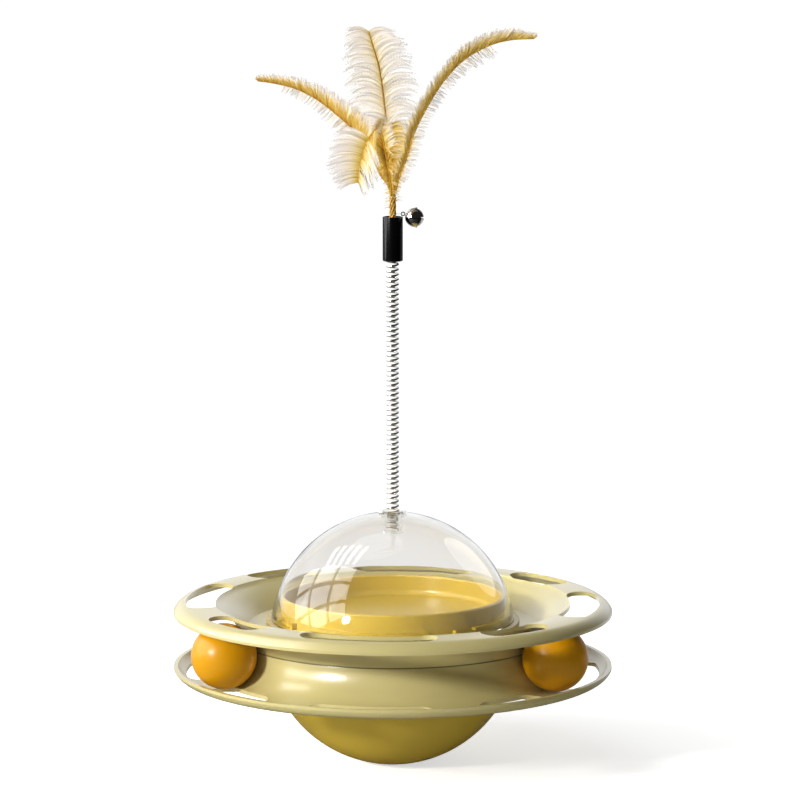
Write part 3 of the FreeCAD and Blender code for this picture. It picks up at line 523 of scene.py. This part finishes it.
middle_turn = round(SPRING_TURNS * (SPRING_MIDDLE - SPRING_LOW) / (SPRING_HIGH - SPRING_LOW))
lower_coil = coil("spring_lower", 0, middle_turn)
upper_coil = coil("spring_upper", middle_turn, SPRING_TURNS)
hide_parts("feather_spring")
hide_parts("feather_spring")
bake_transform(lower_coil)
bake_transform(upper_coil)

# %% [markdown]
# ## Sleeve
# The sleeve is a length of black shrink tube: satin, a little rounded where it grips the spring, and thin at
# its cut mouth. Its section is drawn as one flat face, its corners are rounded while it is flat, and its
# outline is then spun round the axis.

# %% Sleeve shape
SLEEVE_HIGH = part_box("sleeve")[1].z
SLEEVE_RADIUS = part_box("sleeve")[1].x
SLEEVE_BORE = SLEEVE_RADIUS - 1.0 * MM
SLEEVE_SIDES = 96
ROUNDING_STEPS = 5
FOOT_ROUNDING = 0.7 * MM
MOUTH_ROUNDING = 0.25 * MM


def sleeve_shape(bm):
    """The tube's section, rounded at its foot and its mouth, turned a full circle about the axis."""
    corners = ((SLEEVE_BORE, SLEEVE_LOW), (SLEEVE_RADIUS, SLEEVE_LOW), (SLEEVE_RADIUS, SLEEVE_HIGH),
               (SLEEVE_BORE, SLEEVE_HIGH))
    verts = [bm.verts.new((across, 0, up)) for across, up in corners]
    bm.faces.new(verts)
    for vert, rounding in zip(verts[1:], (FOOT_ROUNDING, MOUTH_ROUNDING, MOUTH_ROUNDING)):
        bmesh.ops.bevel(bm, geom=[vert], offset=rounding, offset_type="OFFSET", segments=ROUNDING_STEPS,
                        profile=0.5, affect="VERTICES", material=-1)
    bmesh.ops.delete(bm, geom=bm.faces[:], context="FACES_ONLY")
    bmesh.ops.spin(bm, geom=bm.verts[:] + bm.edges[:], cent=(0, 0, 0), axis=(0, 0, 1), angle=2 * math.pi,
                   steps=SLEEVE_SIDES, use_merge=True)
    bmesh.ops.recalc_face_normals(bm, faces=bm.faces[:])


# %% Sleeve finish
DRAG_SCALE = (900.0, 900.0, 40.0)
DRAG = 0.12
DRAG_DEPTH = 0.2 * MM


def sleeve_finish():
    """Black shrink tube, with faint lengthwise drag lines."""
    material, tree, shader = finish_named("shrink_tube", Base_Color=screen(6, 6, 7), Roughness=0.2,
                                          Specular_IOR_Level=0.25)
    drawn = add_node(tree, "ShaderNodeMapping", {"Vector": own_place(tree), "Scale": DRAG_SCALE})
    bump(tree, shader, noise(tree, drawn.outputs[0], 1.0, 3.0), DRAG, DRAG_DEPTH)
    return material


bm = bmesh.new()
sleeve_shape(bm)
sleeve_tube = object_from("shrink_sleeve", bm, sleeve_finish())
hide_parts("sleeve")
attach(sleeve_tube, "head")

# %% [markdown]
# ## Feathers: the shafts
# Five plumes leave one bound bundle. Each shaft is a smooth line through a few listed places, given in
# millimetres from the top of the quills, with the reach of the barbs at each. A tube is drawn along it from
# a circle that is extruded from place to place and gets thinner towards the tip.

# %% Feather lines
PLUMES = {
    "tall_feather": {
        "across": (1.0, 0.0, 0.0),
        "shaft": [
            (0.0, 1.25, 0.0, 0.4), (-0.4, 3.6, 7.0, 2.0), (-1.4, 7.6, 17.0, 9.0), (-2.8, 12.0, 31.0, 17.0),
            (-4.2, 15.0, 45.0, 21.0), (-5.8, 16.6, 59.0, 21.5), (-8.0, 17.4, 72.0, 21.0),
            (-10.4, 17.6, 80.5, 18.0), (-12.4, 17.3, 87.0, 15.0), (-13.4, 17.1, 91.0, 12.5),
        ],
    },
    "left_feather": {
        "across": (0.0, 1.0, 0.0),
        "shaft": [
            (-0.8, 0.35, 0.0, 2.0), (-2.7, 0.2, 6.0, 3.5), (-6.1, -0.6, 10.4, 6.5), (-10.0, -1.4, 17.1, 10.5),
            (-14.9, -2.0, 25.7, 12.5), (-23.1, -2.0, 37.5, 12.0), (-30.4, -2.0, 44.6, 10.5),
            (-42.5, -2.0, 53.9, 8.6), (-54.6, -2.0, 60.0, 6.8), (-66.8, -2.0, 63.0, 5.4),
            (-75.5, -2.0, 64.2, 3.2),
        ],
    },
    "right_feather": {
        "across": (0.0, 1.0, 0.0),
        "shaft": [
            (0.9, 0.2, 0.0, 3.0), (2.9, -3.0, 8.1, 5.5), (5.6, -8.0, 15.9, 7.0), (8.9, -12.0, 25.9, 7.5),
            (12.3, -12.5, 36.8, 7.5), (20.6, -9.0, 52.6, 7.2), (30.3, -3.5, 66.5, 7.6), (41.2, 0.5, 76.9, 9.2),
            (54.6, 2.0, 84.0, 9.0), (66.7, 2.0, 87.0, 7.4), (79.1, 2.0, 87.6, 3.6),
        ],
    },
    "front_feather": {
        "across": (1.0, 0.0, 0.0),
        "shaft": [
            (-0.8, -1.0, 0.0, 2.0), (-1.5, -2.6, 9.3, 5.0), (-2.7, -5.4, 16.9, 7.0),
            (-4.1, -8.2, 25.0, 8.0), (-5.3, -11.0, 32.4, 8.5), (-7.0, -14.0, 37.9, 9.5),
            (-9.9, -17.0, 38.1, 11.0), (-13.0, -20.0, 34.0, 13.0), (-15.9, -22.5, 27.7, 14.5),
            (-17.8, -24.2, 19.9, 14.5), (-19.3, -25.2, 9.4, 8.0),
        ],
    },
    "short_feather": {
        "across": (1.0, 0.0, 0.0),
        "shaft": [
            (0.6, -1.0, 0.0, 2.0), (0.2, -2.0, 8.0, 5.0), (-0.8, -3.4, 14.3, 8.0), (-1.9, -4.8, 20.5, 10.5),
            (-2.8, -6.0, 26.6, 12.0), (-3.4, -7.0, 32.2, 11.5), (-3.4, -8.0, 36.5, 9.0),
        ],
    },
}
SHAFT_STEPS = 8


def shaft_line(name):
    """Rows along a shaft: the place, the barbs' reach, and the ways along, across and through the vane."""
    rows = [(Vector(row[:3]) * MM + Vector((0, 0, QUILL_TOP)), row[3] * MM) for row in PLUMES[name]["shaft"]]
    across = Vector(PLUMES[name]["across"])
    knots = [place for place, reach in rows]
    # A sixth of the way between a knot's neighbours is the handle that makes the line pass smoothly.
    handles = [(knots[min(number + 1, len(knots) - 1)] - knots[max(number - 1, 0)]) / 6
               for number in range(len(knots))]
    places, reaches = [], []
    for number in range(len(knots) - 1):
        start, end = knots[number], knots[number + 1]
        run = interpolate_bezier(start, start + handles[number], end - handles[number + 1], end,
                                 SHAFT_STEPS + 1)
        for step, place in enumerate(run[:-1]):
            share = step / SHAFT_STEPS
            places.append(Vector(place))
            reaches.append(rows[number][1] * (1 - share) + rows[number + 1][1] * share)
    places.append(knots[-1])
    reaches.append(rows[-1][1])
    line = []
    for number, place in enumerate(places):
        along = (places[min(number + 1, len(places) - 1)] - places[max(number - 1, 0)]).normalized()
        wide = (across - along * across.dot(along)).normalized()
        line.append((place, reaches[number], along, wide, along.cross(wide)))
    return line


def on_line(line, share):
    """The row at a share of a line."""
    spot = min(max(share, 0.0), 1.0) * (len(line) - 1)
    number = min(int(spot), len(line) - 2)
    part = spot - number
    return [here * (1 - part) + there * part for here, there in zip(line[number], line[number + 1])]


def tube(bm, places, radii, sides):
    """A closed tube through places, with a radius at each."""
    ring = bmesh.ops.create_circle(bm, segments=sides, radius=1.0)["verts"]
    edges = list({edge for vert in ring for edge in vert.link_edges})
    first = edges
    back = Matrix.Identity(4)
    for number, place in enumerate(places):
        if number:
            grown = bmesh.ops.extrude_edge_only(bm, edges=edges)["geom"]
            ring = [item for item in grown if isinstance(item, bmesh.types.BMVert)]
            edges = [item for item in grown if isinstance(item, bmesh.types.BMEdge)]
        way = places[min(number + 1, len(places) - 1)] - places[max(number - 1, 0)]
        there = Matrix.Translation(place) @ way.to_track_quat("Z", "Y").to_matrix().to_4x4()
        there = there @ Matrix.Diagonal((radii[number], radii[number], radii[number], 1))
        bmesh.ops.transform(bm, matrix=there @ back, verts=ring)
        back = there.inverted()
    bmesh.ops.edgeloop_fill(bm, edges=edges)
    bmesh.ops.edgeloop_fill(bm, edges=first)


# %% [markdown]
# ## Feathers: the barbs
# A plume's vane is not a sheet but hundreds of separate barbs, each with a fringe of barbules. One barb is a
# flat comb: a narrow grid whose side cells are knocked out in turn and pinched to points. The comb is
# copied along the shaft, and each copy is bent along its own line: it leaves the shaft at one angle, turns
# to another, and droops. Neighbours bend in small clumps, as barbs that cling together do, which opens the
# fine gaps that a plume shows against the light.

# %% Barb comb
TEETH = 13
TOOTH_TIP = 1.7
TOOTH_WIDTH = 0.2
CORE_HALF = 0.1


def comb_mesh():
    """One flat barb, from y 0 at its root to y 1 at its tip, with its teeth out to x -1 and 1."""
    bm = bmesh.new()
    bmesh.ops.create_grid(bm, x_segments=3, y_segments=2 * TEETH, size=0.5)
    bmesh.ops.translate(bm, vec=(0, 0.5, 0), verts=bm.verts[:])
    row = 0.5 / TEETH
    gaps = [face for face in bm.faces
            if abs(face.calc_center_median().x) > 0.2 and int(face.calc_center_median().y / row) % 2]
    bmesh.ops.delete(bm, geom=gaps, context="FACES")
    for vert in bm.verts:
        if abs(vert.co.x) > 0.4:
            low = 2 * row * math.floor(vert.co.y / (2 * row) + 0.25)
            vert.co.y = low + TOOTH_TIP * row + TOOTH_WIDTH * (vert.co.y - low)
            vert.co.x = math.copysign(1.0, vert.co.x)
        else:
            vert.co.x = math.copysign(CORE_HALF, vert.co.x)
    mesh = bpy.data.meshes.new("barb_comb")
    bm.to_mesh(mesh)
    bm.free()
    return mesh


comb = comb_mesh()
comb_co = np.empty(len(comb.vertices) * 3)
comb.vertices.foreach_get("co", comb_co)
comb_co = comb_co.reshape(-1, 3)
comb_corners = np.empty(len(comb.loops), int)
comb.loops.foreach_get("vertex_index", comb_corners)
print(f"barb comb: {len(comb.polygons)} faces")

# %% [markdown]
# ## Feathers: bending one barb
# A barb's own line starts at its root and is walked in small steps, each turned a little further from the
# shaft's way towards the side and pulled a little further down. The comb is then laid along that line, with
# a core that thins towards the tip and a fringe that is widest half way. Whole columns of numbers are moved
# at a time, because there are nearly six thousand barbs.

# %% One barb
CORE = 0.12 * MM
CORE_TAPER = (1.2, 0.8)
FRINGE = 0.62 * MM
FRINGE_SHARE = 0.12
TURN_POWER = 1.2
DROOP_POWER = 1.5
BEND_STEPS = 2 * TEETH


def bent_comb(root, along, side, length, leave, end, droop, twist):
    """The comb's places along one barb's own bent line."""
    share = np.linspace(0, 1, BEND_STEPS + 1)
    angle = leave + (end - leave) * share ** TURN_POWER
    ways = np.outer(np.cos(angle), along) + np.outer(np.sin(angle), side)
    ways[:, 2] -= droop * share ** DROOP_POWER
    ways /= np.linalg.norm(ways, axis=1)[:, None]
    spine = np.vstack((np.zeros(3), np.cumsum(ways * (length / BEND_STEPS), axis=0))) + np.array(root)
    flat = np.cross(along, side)
    spot = np.clip(comb_co[:, 1], 0, 1) * BEND_STEPS
    low = spot.astype(int)
    part = (spot - low)[:, None]
    centre = spine[low] * (1 - part) + spine[low + 1] * part
    across = np.cross(ways[low], flat)
    across = across * math.cos(twist) + flat * math.sin(twist)
    reach = comb_co[:, 1]
    core = CORE * (CORE_TAPER[0] - CORE_TAPER[1] * reach)
    fringe = min(FRINGE, length * FRINGE_SHARE) * (0.5 + 0.5 * np.sin(math.pi * np.clip(reach, 0, 1)))
    wide = np.where(np.abs(comb_co[:, 0]) < 0.5, core, fringe) * np.sign(comb_co[:, 0])
    return centre + across * wide[:, None]


# %% [markdown]
# ## Feathers: the colour
# The plumes are dyed gold at the root and left white at the tips. Each barb carries a small map of its own:
# along it, how far the dye has gone, from 0 for deep gold to 1 for white, and across it, a random tone that
# sets it apart from its neighbours. One ramp turns that into colour. A little sheen stands for the light
# that fine barbules catch.

# %% Feather finishes
DYE = [
    (0.0, screen(140, 82, 6)),
    (0.12, screen(196, 150, 26)),
    (0.34, screen(214, 186, 84)),
    (0.52, screen(226, 206, 142)),
    (0.7, screen(235, 223, 198)),
    (1.0, screen(237, 232, 227)),
]
BARB_TONES = (0.72, 1.08)
STREAK_SCALE = 900.0


def barb_finish():
    """Dyed barb: the ramp of dye, darker or lighter by the barb's own tone."""
    material, tree, shader = finish_named("dyed_barb", Roughness=0.7, Sheen_Weight=0.2, Sheen_Roughness=0.4,
                                          Specular_IOR_Level=0.3)
    chart = add_node(tree, "ShaderNodeUVMap", uv_map="dye")
    axes = add_node(tree, "ShaderNodeSeparateXYZ", {0: chart.outputs[0]}).outputs
    ramp = add_node(tree, "ShaderNodeValToRGB", {0: axes["Y"]})
    points = ramp.color_ramp.elements
    while len(points) < len(DYE):
        points.new(0.5)
    for point, (spot, colour) in zip(points, DYE):
        point.position = spot
        point.color = colour
    tone = spread(tree, axes["X"], levels=BARB_TONES)
    shade = add_node(tree, "ShaderNodeHueSaturation", {"Color": ramp.outputs[0], "Value": tone})
    tree.links.new(shade.outputs[0], shader.inputs["Base Color"])
    return material


def horn_finish(name, dark, light):
    """Dyed quill: horn with darker streaks."""
    material, tree, shader = finish_named(name, Roughness=0.3)
    streak = noise(tree, own_place(tree), STREAK_SCALE, 3.0)
    tree.links.new(mixed_colour(tree, streak, dark, light), shader.inputs["Base Color"])
    return material


dyed_barb = barb_finish()
quill_horn = horn_finish("quill_horn", screen(120, 66, 6), screen(240, 192, 56))
shaft_horn = horn_finish("shaft_horn", screen(98, 52, 6), screen(176, 118, 26))
print(f"dyed barb with {len(DYE)} steps of dye, and two horns")

# %% [markdown]
# ## Feathers: the rows of barbs
# Each plume is dressed with rows of barbs. A row says where along the shaft it runs, on which sides, how
# many barbs it has on a side, how they lean out of the vane's plane and by how much that varies, and the
# angles at which they leave and end. It also says their length against the plume's reach, their droop, how
# far along the dye they run and how soon it fades. The two arches are seen edge-on, so their rows lean
# upwards, with a sparse white fluff below.

# %% Rows of barbs
ROWS = {
    "tall_feather": [
        dict(count=240, run=(0.2, 1.0), sides=(-1,), lean=0, spread=10, leave=52, end=112, tip=0.85, length=1.0,
             droop=0.3, dye=(0.0, 1.0), fade=0.24),
        dict(count=240, run=(0.2, 1.0), sides=(1,), lean=0, spread=10, leave=52, end=112, tip=1.25, length=1.0,
             droop=0.3, dye=(0.1, 1.0), fade=0.24),
        dict(count=70, run=(0.2, 0.84), lean=0, spread=30, leave=40, end=90, length=0.8, droop=0.2,
             dye=(0.05, 1.1), fade=0.3),
    ],
    "left_feather": [
        dict(count=480, run=(0.05, 1.0), lean=-50, spread=30, leave=56, end=44, length=0.84, droop=0.0,
             dye=(0.04, 0.36), cling=0.07),
        dict(count=130, run=(0.2, 0.5), lean=-70, spread=24, leave=62, end=40, length=1.0, droop=0.0,
             dye=(0.0, 0.5), fade=1.3, cling=0.08),
        dict(count=270, run=(0.42, 1.0), lean=-74, spread=16, leave=68, end=54, length=1.05, droop=0.0,
             dye=(0.2, 1.05), fade=1.2, cling=0.04),
        dict(count=70, run=(0.3, 0.85), lean=75, spread=40, leave=85, end=60, length=0.75, droop=0.5,
             dye=(0.72, 1.0)),
    ],
    "right_feather": [
        dict(count=470, run=(0.02, 1.0), lean=50, spread=30, leave=50, end=36, length=0.86, droop=0.0,
             dye=(0.2, 0.54), cling=0.1),
        dict(count=90, run=(0.0, 0.36), lean=0, spread=90, leave=34, end=16, length=0.55, droop=0.0,
             dye=(0.04, 0.42)),
        dict(count=290, run=(0.36, 1.0), lean=74, spread=16, leave=66, end=48, length=0.98, droop=0.0,
             dye=(0.2, 1.0), fade=1.4, cling=0.04),
        dict(count=95, run=(0.08, 0.8), lean=-75, spread=40, leave=75, end=60, length=0.9, droop=0.4,
             dye=(0.7, 1.0)),
    ],
    "front_feather": [
        dict(count=130, run=(0.02, 0.34), lean=0, spread=50, leave=32, end=22, length=1.1, droop=0.0,
             dye=(-0.02, 0.3)),
        dict(count=50, run=(0.02, 0.36), lean=0, spread=80, leave=70, end=105, length=1.3, droop=0.3,
             dye=(0.1, 0.7), fade=0.8),
        dict(count=180, run=(0.3, 0.56), sides=(1,), lean=0, spread=40, leave=44, end=66, length=1.0, droop=0.1,
             dye=(0.3, 0.8)),
        dict(count=230, run=(0.7, 1.0), sides=(-1,), lean=0, spread=14, leave=100, end=62, tip=0.75, length=1.3,
             droop=0.1, dye=(0.08, 1.1), fade=0.5, cling=0.05),
        dict(count=300, run=(0.44, 0.86), sides=(1,), lean=0, spread=50, leave=56, end=22, tip=0.8, length=0.8,
             droop=0.2, dye=(0.06, 0.5)),
        dict(count=120, run=(0.72, 1.0), sides=(1,), lean=0, spread=60, leave=64, end=30, tip=0.8, length=1.1,
             droop=0.3, dye=(0.25, 1.0), fade=0.7),
    ],
    "short_feather": [
        dict(count=150, run=(0.03, 1.0), sides=(1,), lean=0, spread=22, leave=44, end=118, tip=0.6, length=1.3,
             droop=0.5, dye=(-0.02, 0.66), fade=1.1, cling=0.09),
        dict(count=190, run=(0.03, 1.0), sides=(-1,), lean=0, spread=30, leave=36, end=66, tip=0.6, length=0.95,
             droop=0.2, dye=(-0.08, 0.28)),
    ],
}

# %% [markdown]
# ## Feathers: dressing the plumes
# The rows are turned into barbs with a seeded draw for each plume, so every run gives the same feather.
# Step, angles, length, twist and dye all vary a little from barb to barb, and neighbours share one bend in
# threes. The combs are stacked in one mesh first, and all their places are written at once.

# %% Dressed plumes
CLUMP = 3
CLING = 0.1
STEP_VARIES = 0.7
LEAVE_VARIES = 0.06
END_VARIES = 0.15
TWIST_VARIES = 0.5
DYE_VARIES = 0.08
LENGTH_VARIES = (0.8, 1.08)
SHORTEST_BARB = 0.8 * MM
TIP_START = 0.75
SHAFT_ROOT = 0.75 * MM
SHAFT_TIP = 0.2 * MM
SHAFT_SIDES = 6
FIRST_SEED = 11


def row_of_barbs(line, draw, row):
    """The comb's places and dye for every barb of a row, on each side of the shaft that it dresses."""
    start, stop = row["run"]
    near, far = row["dye"]
    faded = np.clip(comb_co[:, 1], 0, 1) ** row.get("fade", 1.0)
    made = []
    for side_sign in row.get("sides", (-1, 1)):
        for number in range(row["count"]):
            if number % CLUMP == 0:
                cling = draw.uniform(-1, 1) * row.get("cling", CLING)
            share = start + (stop - start) * (number + draw.random() * STEP_VARIES) / row["count"]
            place, reach, along, wide, through = on_line(line, share)
            lean = math.radians(row["lean"] + draw.uniform(-1, 1) * row["spread"])
            side = wide * side_sign * math.cos(lean) + through * math.sin(lean)
            closing = 1 - (1 - row.get("tip", 1.0)) * max(0.0, (share - TIP_START) / (1 - TIP_START))
            leave = math.radians(row["leave"]) * closing + cling + draw.uniform(-LEAVE_VARIES, LEAVE_VARIES)
            end = math.radians(row["end"]) * closing + cling * 2 + draw.uniform(-END_VARIES, END_VARIES)
            length = max(reach * row["length"] * draw.uniform(*LENGTH_VARIES), SHORTEST_BARB)
            places = bent_comb(place, np.array(along.normalized()), np.array(side.normalized()), length, leave,
                               end, row["droop"], draw.uniform(-TWIST_VARIES, TWIST_VARIES))
            dye = np.clip(near + (far - near) * faded + draw.uniform(-DYE_VARIES, DYE_VARIES), 0.0, 1.0)
            made.append((places, dye[comb_corners], draw.random()))
    return made


def build_plume(name, seed):
    """One feather: its shaft and its rows of barbs."""
    line = shaft_line(name)
    draw = random.Random(seed)
    bm = bmesh.new()
    radii = [SHAFT_ROOT + (SHAFT_TIP - SHAFT_ROOT) * number / (len(line) - 1) for number in range(len(line))]
    tube(bm, [row[0] for row in line], radii, SHAFT_SIDES)
    for face in bm.faces:
        face.material_index = 1
    horn_places, horn_corners = len(bm.verts), sum(len(face.verts) for face in bm.faces)
    barbs = [barb for row in ROWS[name] for barb in row_of_barbs(line, draw, row)]
    for barb in barbs:
        bm.from_mesh(comb)
    piece = object_from(name + "_plume", bm, dyed_barb, shaft_horn if name == "tall_feather" else quill_horn)
    mesh = piece.data
    places = np.empty(len(mesh.vertices) * 3)
    mesh.vertices.foreach_get("co", places)
    places[horn_places * 3:] = np.concatenate([barb[0].ravel() for barb in barbs])
    mesh.vertices.foreach_set("co", places)
    chart = np.zeros((len(mesh.loops), 2))
    chart[horn_corners:, 0] = np.repeat([barb[2] for barb in barbs], len(comb_corners))
    chart[horn_corners:, 1] = np.concatenate([barb[1] for barb in barbs])
    mesh.uv_layers.new(name="dye").data.foreach_set("uv", chart.ravel())
    mesh.update()
    piece.visible_shadow = False
    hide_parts(name)
    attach(piece, "head")


for seed, name in enumerate(PLUMES, start=FIRST_SEED):
    build_plume(name, seed)

# %% [markdown]
# ## Quills
# Where the plumes leave the sleeve their quills are wound round each other like a short rope, with a few
# curly wisps of down at the top. Each quill is a tube along a steep helix, and the wisps are the same tubes,
# hair-thin, let out along curls of their own.

# %% Quill rope
ROPE_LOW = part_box("quill_bundle")[0].z
ROPE_RADIUS = 1.45 * MM
ROPE_TAPER = 0.1
ROPE_TWIST = 1.1
ROPE_STEPS = 22
QUILLS = 6
QUILL_RADIUS = 0.74 * MM
QUILL_TAPER = 0.25
QUILL_SIDES = 8


def quill_rope():
    """The wound quills."""
    bm = bmesh.new()
    for quill in range(QUILLS):
        places, radii = [], []
        for step in range(ROPE_STEPS + 1):
            share = step / ROPE_STEPS
            turn = 2 * math.pi * (quill / QUILLS + ROPE_TWIST * share)
            out = ROPE_RADIUS * (1 - ROPE_TAPER * share)
            places.append(Vector((out * math.cos(turn), out * math.sin(turn),
                                  ROPE_LOW + (QUILL_TOP - ROPE_LOW) * share)))
            radii.append(QUILL_RADIUS * (1 - QUILL_TAPER * share))
        tube(bm, places, radii, QUILL_SIDES)
    return object_from("quill_rope", bm, quill_horn)


# %% Down wisps
WISPS = 60
WISP_SEED = 31
WISP_STEPS = 7
WISP_SIDES = 3
WISP_RADIUS = 0.15 * MM
WISP_ROOT = 1.4 * MM
WISP_LOW = 2.0
WISP_LOW_AT_BELL = 8.0
WISP_HIGH = 15.0
WISP_CURL = (0.2, 1.0)
WISP_RISE = (0.2, 1.4)
WISP_STRIDE = (0.4, 0.9)
CURL_DOWN = 0.3
CURL_OUT = 0.1
WISP_DYE = 0.42


def down_wisps():
    """Curly down just above the sleeve, but higher on the bell's side, where the bell swings."""
    draw = random.Random(WISP_SEED)
    bm = bmesh.new()
    for wisp in range(WISPS):
        heading = draw.uniform(0, 2 * math.pi)
        out = Vector((math.cos(heading), math.sin(heading), 0))
        low = WISP_LOW_AT_BELL if out.x > 0.2 else WISP_LOW
        start = Vector((0, 0, SLEEVE_HIGH + draw.uniform(low, WISP_HIGH) * MM)) + out * WISP_ROOT
        curl = draw.uniform(*WISP_CURL)
        way = (out + Vector((0, 0, draw.uniform(*WISP_RISE)))).normalized()
        places = [start]
        for step in range(WISP_STEPS):
            way = (way + Vector((0, 0, -curl * CURL_DOWN)) + out * CURL_OUT).normalized()
            places.append(places[-1] + way * draw.uniform(*WISP_STRIDE) * MM)
        radii = [WISP_RADIUS * (1 - step / (WISP_STEPS + 2)) for step in range(len(places))]
        tube(bm, places, radii, WISP_SIDES)
    piece = object_from("down_wisps", bm, dyed_barb)
    chart = np.full((len(piece.data.loops), 2), WISP_DYE)
    piece.data.uv_layers.new(name="dye").data.foreach_set("uv", chart.ravel())
    return piece


rope = quill_rope()
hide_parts("quill_bundle")
for piece, slot in ((rope, "quill"), (down_wisps(), "feather")):
    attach(piece, "head")
